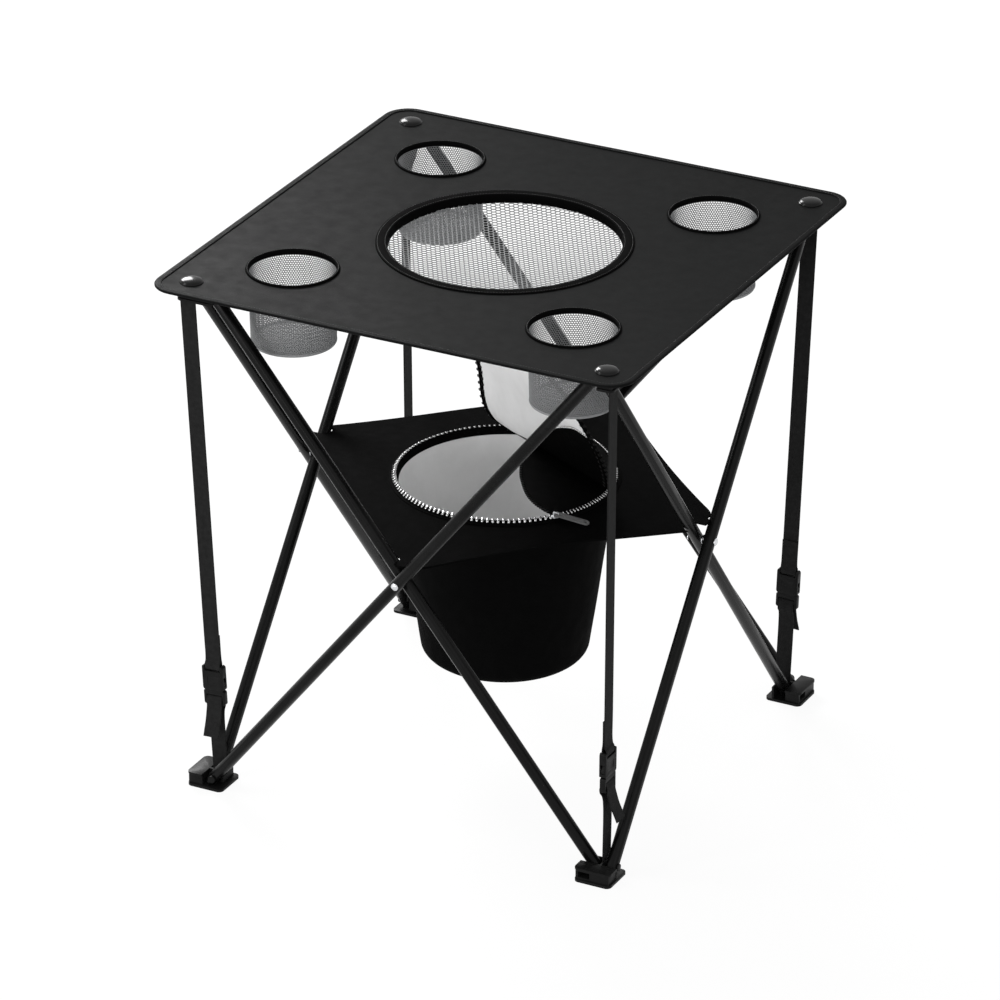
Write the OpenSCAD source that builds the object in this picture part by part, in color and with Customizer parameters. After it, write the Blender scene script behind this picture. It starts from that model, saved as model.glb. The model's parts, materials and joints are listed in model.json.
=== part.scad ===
// Folding camping table: a quad-fold scissor frame of eight tubes, a fabric top with four mesh
// cup holders and a net, a hanging fabric shelf with a zipped cooler, and four buckled straps.
// Z is up, the floor is z = 0, and the origin is under the middle of the table.
// Corners are counted from the front left, anticlockwise seen from above: 0 front left,
// 1 front right, 2 back right, 3 back left. Side i runs from corner i to the next one.

/* [Table top] */
// Width of the square fabric top
top_w = 575; // [540:1:640]
// Height of the top's upper face above the floor
table_h = 610; // [560:2:680]
// Thickness of the top's fabric
top_t = 1.6; // [1.2:0.1:2.4]
// Radius of the top's corners
top_r = 30; // [16:1:60]
// Width of the raised hem round the top
hem_w = 8; // [5:0.5:14]
// Height of the hem above the fabric
hem_t = 0.9; // [0.5:0.1:1.6]
// Distance of each corner cap's middle from the top's edges
cap_inset = 37.5; // [35.5:0.5:39.5]
// Radius of the domed corner caps
cap_r = 13; // [10:0.5:15]
// Height of the domed corner caps
cap_h = 4.2; // [3:0.2:6]

/* [Cup holders and net] */
// Distance of each cup holder's middle from the top's edges
cup_inset = 117.5; // [113.5:0.5:121.5]
// Outer radius of a cup holder's binding ring
cup_ring_r = 51.5; // [48:0.5:54]
// Width of a cup holder's binding ring
cup_ring_w = 4; // [3:0.2:5]
// Height of a cup holder's binding ring
cup_ring_h = 3.6; // [2.8:0.2:5]
// Depth of a mesh cup below the top
cup_depth = 85; // [60:1:110]
// Thickness of a cup's mesh
cup_wall = 1.6; // [1.2:0.1:2.4]
// How much narrower a cup's floor is than its mouth
cup_taper = 2; // [0:0.5:6]
// Outer radius of the middle net's binding ring
net_ring_r = 141.5; // [134:0.5:146]
// Width of the middle net's binding ring
net_ring_w = 13; // [8:0.5:18]
// Depth of the ring's inner wall, which carries the net, below the top's upper face
net_skirt = 9.3; // [5:0.1:14]
// Pitch of the net's six-sided gaps
net_pitch = 14.6; // [14:0.2:20]
// Width of a net strand
net_strand = 2; // [1.4:0.1:3]
// Thickness of the net
net_t = 1.6; // [1.2:0.1:2.4]

/* [Frame tubes] */
// Distance of each hinge line from the top's edge
hinge_inset = 54.5; // [49.5:0.5:56.5]
// Outer diameter of a frame tube
tube_d = 14; // [12:0.2:15]
// Wall of a frame tube
tube_wall = 1.2; // [0.9:0.1:1.8]
// Gap between the outer and the inner tube where they cross
tube_gap = 1; // [0.8:0.1:1.6]
// How far a tube's closed end reaches past its hinge
tube_end = 8.5; // [8:0.1:9.5]
// Length of the plug inside a tube's end, measured from the hinge
plug_len = 18; // [12:1:30]
// Diameter of a pivot rivet's shaft
rivet_d = 5.2; // [4:0.1:6]
// Diameter of a pivot rivet's head
rivet_head_d = 8.4; // [7:0.2:11]
// Running clearance round every rivet and hinge pin
pin_clear = 0.06; // [0.03:0.01:0.09]

/* [Feet and top brackets] */
// Width of a foot's square base plate
base_w = 44; // [42:0.5:47]
// Thickness of the base plate
base_t = 3.2; // [2.6:0.1:4]
// Radius of the base plate's corners
base_r = 6; // [3:0.5:9]
// Height of a foot from its base to its cap
foot_h = 17; // [16:0.2:20]
// Thickness of the cap plate over the corner block
cap_t = 2.6; // [2:0.1:3.4]
// Thickness of a bracket's walls between the tubes
lug_t = 2.6; // [2.2:0.1:3]
// Diameter of a bracket's hinge pins
pin_d = 5; // [4:0.1:6]
// Clearance between a tube and the bracket round it
tube_clear = 0.3; // [0.2:0.05:0.4]

/* [Straps and buckles] */
// Width of the webbing
web_w = 19; // [16:0.5:21]
// Thickness of the webbing
web_t = 1.5; // [1.1:0.1:1.8]
// Place of each strap's upper end along its side, past the hinge
strap_top = [-24, 4, -18, 4]; // [-25:1:5]
// Height of each buckle's middle above the floor
buckle_z = [124, 128, 134, 134]; // [100:2:200]
// Width of a buckle
buckle_w = 26; // [24.5:0.5:30]
// Thickness of a buckle
buckle_t = 8; // [7:0.2:9]
// Length of the buckle's socket
socket_l = 30; // [27:0.5:36]
// Length of the plug's strap frame, below the socket
plug_frame_l = 18; // [16:0.5:24]
// Length of the free tail below the buckle
tail_l = 42; // [20:1:60]

/* [Shelf and cooler] */
// How far the shelf's corners stay inside the outer tubes' middle lines
shelf_inside = 1.7; // [0:0.1:4]
// Distance along each side from the pivot to where a tube passes the shelf
shelf_slot_at = 17.5; // [15:0.1:22]
// Thickness of the shelf's fabric
shelf_t = 2.4; // [1.6:0.1:3.2]
// Radius of the shelf's rounded corners
shelf_corner_r = 40; // [30:1:50]
// How far the shelf's edges curve in
shelf_sag = 7; // [3:0.5:12]
// Radius of the cooler's mouth
mouth_r = 119; // [110:1:124]
// Depth of the cooler below the shelf
bag_depth = 212; // [170:1:230]
// Outer radius of the cooler's floor
bag_floor_r = 95; // [85:1:105]
// Radius of the cooler's floor edge
bag_fillet = 14; // [8:1:24]
// Thickness of the cooler's padded outer wall
bag_wall = 3; // [2:0.2:5]
// Thickness of the cooler's liner
liner_t = 1.6; // [1.2:0.1:2.4]
// Width of the zip round the cooler's mouth
zip_w = 10; // [8:0.5:14]
// Height of the zip above the shelf
zip_h = 3; // [2:0.2:4]
// Thickness of the lid's outer layer
lid_t = 3; // [2:0.2:5]
// Thickness of the lid's white lining
lid_lining_t = 6; // [3:0.5:9]
// Distance of the lid's fold line from the middle of the mouth
lid_fold_at = 70; // [60:1:95]
// Direction of the lid's fold line from the middle of the mouth
lid_dir = 62; // [0:1:90]
// How far the lid stands open
lid_open = 65; // [0:1:110]
// Direction of the zip's slider from the middle of the mouth
slider_dir = -36; // [-60:1:0]
// Direction in which the slider's pull lies
pull_dir = 8; // [-36:1:40]
// Length of the slider's pull
pull_l = 34; // [20:1:45]

/* [Hidden] */

e = 0.01;                                  // overlap that lets a cut break its face
seat = 0.2;                                // gap between fabric and the plastic under it
r_t = tube_d/2;
cap_at = top_w/2 - cap_inset;              // along X and along Y from the middle
cup_at = top_w/2 - cup_inset;
w = top_w/2 - hinge_inset;                 // hinge lines lie at this distance from the middle
// the outer tubes run outside the ends of the neighbouring side's inner tubes, a lug wall apart
outer_y = w + tube_end + lug_t + 2*tube_clear + r_t;
inner_y = outer_y - tube_d - tube_gap;
hinge_z = base_t + 0.6 + tube_end;         // hinge height inside a foot
bracket_top = table_h - top_t - seat;      // upper face of the top brackets
top_hinge_z = bracket_top - hinge_z;
pivot_z = (hinge_z + top_hinge_z)/2;
rise = (top_hinge_z - hinge_z)/2;
lean = atan2(rise, w);                     // a tube's angle to the floor
half_l = norm([rise, w]);                  // pivot to hinge, along a tube

// bracket plan, measured from the hinge lines' crossing at (-w, -w)
outer_in = -(outer_y - w) + r_t;           // inner side of the outer tube
outer_out = outer_in - tube_d;
inner_out = -(inner_y - w) - r_t;          // outer side of the inner tube
inner_in = inner_out + tube_d;
lug_hi = -(tube_end + tube_clear);         // wall between the two tubes
lug_lo = lug_hi - lug_t;
base_c = -8;                               // middle of the base plate
base_lo = base_c - base_w/2;
base_hi = base_c + base_w/2;
block_in = inner_out - tube_clear;         // inner face of the corner block
block_rim = 2;                             // the plates stand out this far past the block

shelf_r = outer_y - shelf_inside;          // half diagonal of the shelf's turned square
shelf_z = pivot_z + shelf_slot_at*tan(lean);
shelf_top = shelf_z + shelf_t/2;
shelf_bottom = shelf_z - shelf_t/2;
slot_clear = 1.6;                          // between a tube and the shelf's cut for it
liner_r = mouth_r + liner_t;
shell_in_r = liner_r + 0.3;
shell_r = shell_in_r + bag_wall;
flange_w = 9;
bag_bottom = shelf_bottom - bag_depth;
lid_r = mouth_r - 0.6;
lid_axis_z = shelf_top + lid_t/2;
fold_gap = 1.2;                            // half of the slit along the lid's fold line

web_y = (lug_lo + lug_hi)/2;               // a strap stands on the wall between the tubes
web_y_top = -14.4;                         // and ends under the top bracket's block
web_x = 3;
web_bottom = foot_h + 0.45;
web_up = table_h - top_t - seat - foot_h - 0.45;

black = [0.07, 0.07, 0.075];
tube_black = [0.03, 0.03, 0.032];
fabric = [0.16, 0.16, 0.17];
grey_net = [0.55, 0.56, 0.57];
silver = [0.75, 0.76, 0.78];
white = [0.92, 0.92, 0.91];

module side(i) rotate([0, 0, 90*i]) children();
module corner(i) rotate([0, 0, 90*i]) translate([-w, -w, 0]) children();

// Fabric top

module rounded_square(width, r, h, $fn = 48) {
    s = width/2 - r;
    linear_extrude(h) union() {
        square([width, 2*s], center = true);
        square([2*s, width], center = true);
        for (x = [-s, s], y = [-s, s]) translate([x, y]) circle(r);
    }
}

net_r = net_ring_r - net_ring_w + top_t;   // outer radius of the ring's inner wall and of the net

module hem_band() translate([0, 0, table_h]) difference() {
    rounded_square(top_w, top_r, hem_t);
    translate([0, 0, -e]) rounded_square(top_w - 2*hem_w, top_r - hem_w/2, hem_t + 2*e);
}

module back_strip(grow) translate([-top_w, top_w/2 - top_r + grow, 0]) cube([2*top_w, top_r*2, 2*table_h]);

module top_panel() color(fabric) difference() {
    union() {
        translate([0, 0, table_h - top_t]) rounded_square(top_w, top_r, top_t);
        difference() {
            translate([0, 0, -e]) hem_band();
            back_strip(-seat);
        }
        translate([0, 0, table_h - top_t - hem_t]) cylinder(r = net_ring_r, h = top_t + 2*hem_t, $fn = 120);
        translate([0, 0, table_h - net_skirt]) cylinder(r = net_r, h = net_skirt, $fn = 120);
    }
    translate([0, 0, table_h - net_skirt - e])
        cylinder(r = net_ring_r - net_ring_w, h = net_skirt + hem_t + 2*e, $fn = 120);
    for (i = [0:3]) side(i) {
        translate([-cup_at, -cup_at, table_h - top_t - e])
            cylinder(r = cup_ring_r + 0.3, h = top_t + 2*e, $fn = 72);
        translate([-cap_at, -cap_at, table_h - top_t - e]) cylinder(r = 3.6, h = top_t + 2*e, $fn = 24);
    }
}

module hem_back() color(fabric) translate([0, 0, seat/2]) intersection() {
    hem_band();
    back_strip(0);
}

// six-sided gaps in staggered rows, clear of the rim
module centre_net() color(grey_net) {
    rim = 3;
    row = net_pitch*sqrt(3)/2;
    gap_r = (net_pitch - net_strand)/sqrt(3);
    n = ceil(net_r/row);
    translate([0, 0, table_h - net_skirt - net_t - 0.1]) difference() {
        cylinder(r = net_r, h = net_t, $fn = 96);
        for (j = [-n:n], i = [-n - 1:n + 1])
            let (x = net_pitch*(i + (j % 2 == 0 ? 0 : 0.5)), y = row*j)
                if (norm([x, y]) + gap_r < net_r - rim)
                    translate([x, y, -e]) rotate(30) cylinder(r = gap_r, h = net_t + 2*e, $fn = 6);
    }
}

// a bound ring and the mesh cup that hangs from it
module cup(i) color(grey_net) side(i) translate([-cup_at, -cup_at, table_h]) {
    r_in = cup_ring_r - cup_ring_w;
    r_net = r_in + cup_wall;
    bottom = -cup_depth;
    r_floor = r_net - cup_taper;
    rotate_extrude($fn = 72) polygon(concat(
        [[0, bottom], [r_floor - 5, bottom]],
        [for (a = [30:30:90]) [r_floor - 5 + 5*sin(a), bottom + 5 - 5*cos(a)]],
        [[r_net, -cup_ring_h/2 - 0.6], [cup_ring_r - 1, -cup_ring_h/2 - 0.4], [cup_ring_r, -cup_ring_h/4],
         [cup_ring_r, cup_ring_h/8], [cup_ring_r - 1, cup_ring_h/2], [r_in + 1, cup_ring_h/2],
         [r_in, cup_ring_h/8]],
        [for (a = [90:-30:0]) [r_floor - 5 + (5 - cup_wall)*sin(a), bottom + 5 - (5 - cup_wall)*cos(a)]],
        [[0, bottom + cup_wall]]));
}

// domed cap whose shank goes down into the bracket's block
module cap(i) color(black) side(i) translate([-cap_at, -cap_at, table_h + 0.1]) {
    sphere_r = (cap_r*cap_r + cap_h*cap_h)/(2*cap_h);
    intersection() {
        translate([0, 0, cap_h - sphere_r]) sphere(r = sphere_r, $fn = 96);
        cylinder(r = cap_r - 0.2, h = cap_h + 1, $fn = 48);
    }
    translate([0, 0, -(top_t + 8)]) cylinder(d = 6, h = top_t + 8 + e, $fn = 32);
}

// Frame

// a tube along X with its pivot at the origin and its hinges along Y, ends rounded about the hinges
module tube() difference() {
    union() {
        rotate([0, 90, 0]) cylinder(r = r_t, h = 2*half_l, center = true, $fn = 40);
        for (s = [-1, 1]) translate([s*half_l, 0, 0]) intersection() {
            rotate([0, 90, 0]) cylinder(r = r_t, h = 3*tube_end, center = true, $fn = 40);
            rotate([90, 0, 0]) cylinder(r = tube_end, h = 2*tube_d, center = true, $fn = 48);
        }
    }
    rotate([0, 90, 0]) cylinder(r = r_t - tube_wall, h = 2*(half_l - plug_len), center = true, $fn = 40);
    for (s = [-1, 1]) translate([s*half_l, 0, 0]) rotate([90, 0, 0])
        cylinder(d = pin_d + 2*pin_clear, h = 2*tube_d, center = true, $fn = 40);
    rotate([90, 0, 0]) cylinder(d = rivet_d + 2*pin_clear, h = 2*tube_d, center = true, $fn = 40);
}

module outer_tube(i) color(tube_black) side(i) translate([0, -outer_y, pivot_z]) rotate([0, -lean, 0]) tube();
module inner_tube(i) color(tube_black) side(i) translate([0, -inner_y, pivot_z]) rotate([0, lean, 0]) tube();

loop_y = inner_y - r_t - tube_clear;       // outer face of a shelf loop's tab
loop_t = 1.6;

// shaft with a domed outer head, a washer between the tubes and a flat inner head past the loop
module pivot_rivet(i) color(silver) side(i) translate([0, 0, pivot_z]) rotate([90, 0, 0]) {
    out = outer_y + r_t + 0.05;
    in = loop_y - loop_t - 0.15;
    translate([0, 0, in - 1.5]) cylinder(d = rivet_d, h = out - in + 1.5 + e, $fn = 32);
    translate([0, 0, in - 1.5]) cylinder(d = rivet_head_d, h = 1.5, $fn = 32);
    translate([0, 0, outer_y - r_t - tube_gap + 0.1])
        cylinder(d = rivet_head_d + 2, h = tube_gap - 0.2, $fn = 32);
    translate([0, 0, out]) rotate_extrude($fn = 32) polygon([[0, 0], [rivet_head_d/2, 0],
        [rivet_head_d/2, 0.8], [rivet_head_d*0.38, 1.6], [rivet_head_d*0.2, 2.1], [0, 2.2]]);
}

// Feet and top brackets

module plate_outline() translate([base_c, base_c]) {
    s = base_w/2 - base_r;
    square([base_w, 2*s], center = true);
    square([2*s, base_w], center = true);
    for (x = [-s, s], y = [-s, s]) translate([x, y]) circle(base_r, $fn = 40);
}

// moulding that holds the end of an outer tube in an open recess and an inner tube behind a wall
module bracket() {
    block_lo = base_lo + block_rim;
    linear_extrude(base_t) plate_outline();
    difference() {
        union() {
            // corner block, its cap and the wall between the tubes
            linear_extrude(foot_h) intersection() {
                plate_outline();
                union() {
                    translate([block_lo, block_lo]) square([block_in - block_lo, base_w - 2*block_rim]);
                    translate([block_lo, lug_lo]) square([inner_in + tube_clear + lug_t - block_lo, lug_t]);
                    translate([inner_in + tube_clear, lug_lo]) square([lug_t, base_hi - 2 - lug_lo]);
                }
            }
            translate([0, 0, foot_h - cap_t]) linear_extrude(cap_t) intersection() {
                plate_outline();
                translate([base_lo, base_lo]) square([block_in - base_lo, base_w]);
            }
        }
        // the lug behind the inner tube is lower than the block
        translate([inner_in + tube_clear - e, lug_hi, hinge_z + pin_d]) cube([lug_t + 1, base_w, foot_h]);
        // hollow that lightens the corner block, open to the outside face
        translate([base_lo - e, lug_hi + 4, base_t + 2])
            cube([block_in - base_lo - 3, base_hi - lug_hi - 9, foot_h - base_t - cap_t - 4]);
    }
    // hinge pin of the outer tube, with its head outside
    translate([0, lug_lo + e, hinge_z]) rotate([90, 0, 0]) {
        cylinder(d = pin_d, h = lug_lo - outer_out + 0.2, $fn = 32);
        translate([0, 0, lug_lo - outer_out + 0.1]) cylinder(d = pin_d + 3.4, h = 1.4, $fn = 32);
    }
    // hinge pin of the inner tube, from the block to the lug
    translate([block_in - e, 0, hinge_z]) rotate([0, 90, 0])
        cylinder(d = pin_d, h = inner_in + tube_clear - block_in + 2*e, $fn = 32);
}

module foot(i) color(black) corner(i) bracket();

// the same moulding turned over about the corner's diagonal
module top_bracket(i) color(black) corner(i) difference() {
    translate([0, 0, bracket_top]) rotate([0, 0, 45]) rotate([180, 0, 0]) rotate([0, 0, -45]) bracket();
    translate([w - cap_at, w - cap_at, bracket_top - 9]) cylinder(d = 6.1, h = 10, $fn = 32);
}

// Straps and buckles

// places children at the lower end of corner i's strap, with Z along it and Y across its faces
module strap_line(i) {
    dx = strap_top[i] - web_x;
    dy = web_y_top - web_y;
    dz = web_up - web_bottom;
    corner(i) translate([web_x, web_y, web_bottom])
        rotate([asin(-dy/norm([dx, dy, dz])), atan2(dx, dz), 0]) children();
}
function strap_l(i) = norm([strap_top[i] - web_x, web_y_top - web_y, web_up - web_bottom]);
function buckle_s(i) = buckle_z[i] - web_bottom;   // the buckle's middle, along the strap
function socket_s(i) = buckle_s(i) + (plug_frame_l - socket_l)/2;   // the socket's mouth

// a ribbon of webbing whose middle line runs through points [y, z]
function ribbon_side(p, k) = [for (j = [0:len(p) - 1])
    let (a = p[max(j - 1, 0)], b = p[min(j + 1, len(p) - 1)], d = (b - a)/norm(b - a))
        p[j] + k*[-d[1], d[0]]];
module ribbon(p, t) rotate([90, 0, 90]) linear_extrude(web_w, center = true)
    polygon(concat(ribbon_side(p, t/2), [for (j = [len(p) - 1:-1:0]) ribbon_side(p, -t/2)[j]]));

bar_r = 1.3;                               // half thickness of a buckle's bars
bar_clear = 0.7;
turn_r = bar_r + bar_clear + web_t/2;      // a strap's middle line round a bar
socket_bar_s = socket_l - 3.2;             // bar height above the socket's mouth
plug_bar_s = -plug_frame_l/2 - 1;          // bar height below the mouth

// from the top bracket down to the socket's bar, round it and back up to the seam
module upper_strap(i) color(fabric) strap_line(i) {
    s = socket_s(i) + socket_bar_s;
    q = socket_l/6;
    ribbon(concat([[0, strap_l(i)], [0, s + 2.8*q], [-turn_r*0.9, s + q]],
        [for (a = [0:-30:-180]) [-turn_r*cos(a), s + turn_r*sin(a)]],
        [[turn_r*0.9 + 0.1, s + 1.2*q], [web_t + 0.15, s + 3*q], [web_t + 0.15, s + 8*q]]), web_t);
}

// from the foot up round the plug's bar, then down outside it as the free tail
module lower_strap(i) color(fabric) strap_line(i) {
    s = socket_s(i) + plug_bar_s;
    past = plug_t/2 + web_t/2 + 0.35;      // clear of the frame's lower rail
    q = plug_frame_l/9;
    k = tail_l/21;
    ribbon(concat([[0, 0], [0, s - 12*q], [past, s - 5*q], [past, s - 2*q]],
        [for (a = [0:30:180]) [turn_r*cos(a), s + turn_r*sin(a)]],
        [[-past, s - 2*q], [-past, s - 4.5*q], [-past - k, s - 7*k], [-past - 3.5*k, s - tail_l*0.66],
         [-past - 6*k, s - tail_l]]), web_t);
}

module rounded_plate(width, l, t, r) rotate([90, 0, 0]) linear_extrude(t, center = true) {
    translate([-width/2 + r, 0]) square([width - 2*r, l]);
    translate([-width/2, r]) square([width, l - 2*r]);
    for (x = [-1, 1], z = [r, l - r]) translate([x*(width/2 - r), z]) circle(r, $fn = 24);
}

arm_x = buckle_w/2 - 4.6;                  // middle of a side arm
arm_w = 2.8;
window_lo = 5;
window_hi = 16;
cavity_l = 20;
cavity_t = buckle_t - 3.2;
plug_t = buckle_t - 1.4;                   // thickness of the plug's strap frame
dish_l = 0.36*socket_l;                    // finger dish on each face of the socket
dish_depth = buckle_t/16;
dish_r = (dish_l*dish_l/4 + dish_depth*dish_depth)/(2*dish_depth);

// female half: a shell with a cavity, side windows and a bar for the strap
module buckle_socket(i) color(black) strap_line(i) translate([0, 0, socket_s(i)]) difference() {
    rounded_plate(buckle_w, socket_l, buckle_t, 3);
    translate([-(buckle_w/2 - 2.2), -cavity_t/2, -1]) cube([buckle_w - 4.4, cavity_t, cavity_l + 1]);
    for (s = [-1, 1]) translate([s*buckle_w/2, 0, (window_lo + window_hi)/2])
        cube([5, cavity_t, window_hi - window_lo], center = true);
    for (s = [-1, 1]) translate([0, s*(buckle_t/2 + dish_r - dish_depth), 0.4*socket_l]) rotate([0, 90, 0])
        cylinder(r = dish_r, h = buckle_w - 12, center = true, $fn = 120);
    // slots on both sides of the strap's bar
    for (s = [-1, 1]) translate([0, 0, socket_bar_s + s*(bar_r + 1.2)])
        cube([web_w + 1, 2*buckle_t, 2.4], center = true);
    for (y = [bar_r, -buckle_t - bar_r]) translate([-(web_w + 1)/2, y, socket_bar_s - bar_r - 2.4])
        cube([web_w + 1, buckle_t, 2*bar_r + 4.8]);
}

// male half: two sprung arms with barbs, a guide between them and a frame for the strap
module buckle_plug(i) color(black) strap_line(i) translate([0, 0, socket_s(i)]) {
    t = cavity_t - 0.8;
    difference() {
        translate([0, 0, -plug_frame_l]) rounded_plate(buckle_w, plug_frame_l - 0.4, plug_t, 2.6);
        for (z = [plug_bar_s + bar_r + 1.4, plug_bar_s - bar_r - 1.4])
            translate([0, 0, z]) cube([web_w + 1, 2*buckle_t, 2.8], center = true);
        for (y = [bar_r, -buckle_t - bar_r]) translate([-(web_w + 1)/2, y, plug_bar_s - bar_r - 2.8])
            cube([web_w + 1, buckle_t, 2*bar_r + 5.6]);
    }
    translate([-1.6, -t/2, -1]) cube([3.2, t, cavity_l - 4]);
    for (s = [-1, 1]) rotate([90, 0, 0]) linear_extrude(t, center = true) polygon([
        [s*(arm_x - arm_w/2), -1], [s*(arm_x + arm_w/2), -1], [s*(arm_x + arm_w/2 - 0.6), window_lo + 0.5],
        [s*(buckle_w/2 - 0.4), window_lo + 0.5], [s*(buckle_w/2 - 0.2), window_lo + 4],
        [s*(arm_x + arm_w/2), window_hi - 1.2], [s*(arm_x - arm_w/2), cavity_l - 1.6],
        [s*(arm_x - arm_w/2 - 0.4), window_hi - 3], [s*(arm_x - arm_w/2 - 0.6), 6]]);
}

// Shelf and cooler

// a square turned by 45 degrees with rounded corners, its edges curved in
module shelf_outline() difference() {
    hull() for (i = [0:3]) rotate(90*i)
        translate([shelf_r - shelf_corner_r, 0]) circle(shelf_corner_r, $fn = 48);
    chord = (shelf_r - shelf_corner_r)*sqrt(2);
    big = (chord*chord/4 + shelf_sag*shelf_sag)/(2*shelf_sag);
    for (i = [0:3]) rotate(45 + 90*i)
        translate([chord/2 + shelf_corner_r - shelf_sag + big, 0]) circle(big, $fn = 240);
}

module shelf_panel() color(fabric) difference() {
    translate([0, 0, shelf_bottom]) linear_extrude(shelf_t) shelf_outline();
    translate([0, 0, shelf_bottom - 1]) cylinder(r = shell_r + 0.3, h = shelf_t + 2, $fn = 120);
    // each tube has a notch that is open to the shelf's edge
    for (i = [0:3], tube = [[inner_y, lean], [outer_y, -lean]]) side(i)
        hull() for (out = [0, outer_y - inner_y])
            translate([0, -tube[0] - out, pivot_z]) rotate([0, tube[1], 0]) rotate([0, 90, 0])
                cylinder(r = r_t + slot_clear, h = half_l, center = true, $fn = 40);
}

// tab with an eyelet on the pivot rivet, its top turned in under the shelf's corner
module shelf_loop(i) color(black) side(i) difference() {
    union() {
        translate([-5, -loop_y, pivot_z]) cube([10, loop_t, shelf_bottom - 0.3 - pivot_z]);
        translate([0, -loop_y, pivot_z]) rotate([-90, 0, 0]) cylinder(r = 5, h = loop_t, $fn = 36);
        translate([-5, -loop_y, shelf_bottom - 0.3 - loop_t]) cube([10, 16, loop_t]);
    }
    translate([0, -loop_y - 1, pivot_z]) rotate([-90, 0, 0])
        cylinder(d = rivet_d + 2*pin_clear, h = loop_t + 2, $fn = 36);
}

function arc(c, r, from, to, n) = [for (k = [0:n]) let (a = from + (to - from)*k/n) c + r*[cos(a), sin(a)]];

module cooler_shell() color(tube_black) rotate_extrude($fn = 96) polygon(concat(
    [[0, bag_bottom]],
    arc([bag_floor_r - bag_fillet, bag_bottom + bag_fillet], bag_fillet, -90, -4, 6),
    [[shell_r, shelf_bottom - 1.8], [shell_r + flange_w, shelf_bottom - 1.8],
     [shell_r + flange_w, shelf_bottom - 0.1], [shell_r, shelf_bottom - 0.1],
     [shell_r, shelf_top], [shell_in_r, shelf_top]],
    arc([bag_floor_r - bag_fillet, bag_bottom + bag_fillet], bag_fillet - bag_wall, -4, -90, 6),
    [[0, bag_bottom + bag_wall]]));

module cooler_liner() color(white) rotate_extrude($fn = 96) {
    off = bag_wall + 0.3;
    polygon(concat(
        [[0, bag_bottom + off]],
        arc([bag_floor_r - bag_fillet, bag_bottom + bag_fillet], bag_fillet - off, -90, -4, 6),
        [[liner_r, shelf_top], [mouth_r, shelf_top]],
        arc([bag_floor_r - bag_fillet, bag_bottom + bag_fillet], bag_fillet - off - liner_t, -4, -90, 6),
        [[0, bag_bottom + off + liner_t]]));
}

// the zip's tape with its bead of teeth
module rim_zip() color(black) translate([0, 0, shelf_top + 0.1]) rotate_extrude($fn = 96)
    polygon([[mouth_r, 0], [mouth_r + zip_w, 0], [mouth_r + zip_w, 0.8], [mouth_r + 5.4, 0.9],
        [mouth_r + 4.6, zip_h - 0.5], [mouth_r + 3, zip_h], [mouth_r + 1.2, zip_h - 0.5], [mouth_r, 0.9]]);

// the closed lid, cut along the fold line; past = 1 keeps the moving side, -1 the sewn side
module lid_disc(r, z, t, past) translate([0, 0, z]) difference() {
    cylinder(r = r, h = t, $fn = 96);
    rotate(lid_dir) translate([past > 0 ? lid_fold_at - fold_gap : lid_fold_at + fold_gap - 3*r, -1.5*r, -1])
        cube([3*r, 3*r, t + 2]);
}
module opened_lid() translate(lid_fold_at*[cos(lid_dir), sin(lid_dir), 0] + [0, 0, lid_axis_z])
    rotate(a = lid_open, v = [-sin(lid_dir), cos(lid_dir), 0])
        translate(-lid_fold_at*[cos(lid_dir), sin(lid_dir), 0] - [0, 0, lid_axis_z]) children();

lid_z = shelf_top;
module lid_seam_panel() color(fabric) translate([0, 0, 0.1]) lid_disc(mouth_r - 0.2, lid_z, lid_t, -1);
module lid_shell() color(fabric) opened_lid() lid_disc(lid_r, lid_z, lid_t, 1);
module lid_lining() color(white) opened_lid() lid_disc(lid_r - 3, lid_z - lid_lining_t, lid_lining_t, 1);

slider_r = mouth_r + 3 + 2.6;
slider_z = shelf_top + 0.1 + zip_h + 0.3;
pull_t = 1.8;
pull_w = 9;
eye_z = slider_z + 3.6;
pull_droop = asin((eye_z - shelf_top - pull_t/2 - 0.4)/(pull_l + pull_w/2));   // till it lies on the shelf

// a wedge-shaped body over the teeth with a bridge for the pull
module zip_slider() color(silver) rotate(slider_dir) translate([slider_r, 0, slider_z]) {
    linear_extrude(1.4) polygon([[-4, -5], [4, -5], [4.4, 1], [2.6, 6], [-2.6, 6], [-4.4, 1]]);
    rotate(pull_dir - slider_dir) rotate([90, 0, 0]) linear_extrude(3, center = true) difference() {
        translate([-3.4, 1.4 - e]) square([6.8, 4.4]);
        translate([0, eye_z - slider_z]) circle(r = 1.25, $fn = 24);
    }
}

// a flat pull with a rounded end, swinging on a pin through the slider's bridge
module slider_pull() color(grey_net) translate([slider_r*cos(slider_dir), slider_r*sin(slider_dir), eye_z])
    rotate(pull_dir) rotate([0, pull_droop, 0]) {
        rotate([90, 0, 0]) cylinder(r = 1.2, h = pull_w, center = true, $fn = 24);
        difference() {
            translate([0, 0, -pull_t/2]) linear_extrude(pull_t) union() {
                translate([0, -pull_w/2]) square([pull_l, pull_w]);
                translate([pull_l, 0]) circle(d = pull_w, $fn = 32);
            }
            translate([-3, -1.9, -3]) cube([7, 3.8, 6]);
            translate([pull_l, 0, -3]) cylinder(r = 2, h = 6, $fn = 24);
        }
        for (y = [1.9, -pull_w/2]) translate([-1.2, y, -pull_t/2]) cube([2.4, pull_w/2 - 1.9, pull_t]);
    }

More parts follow.
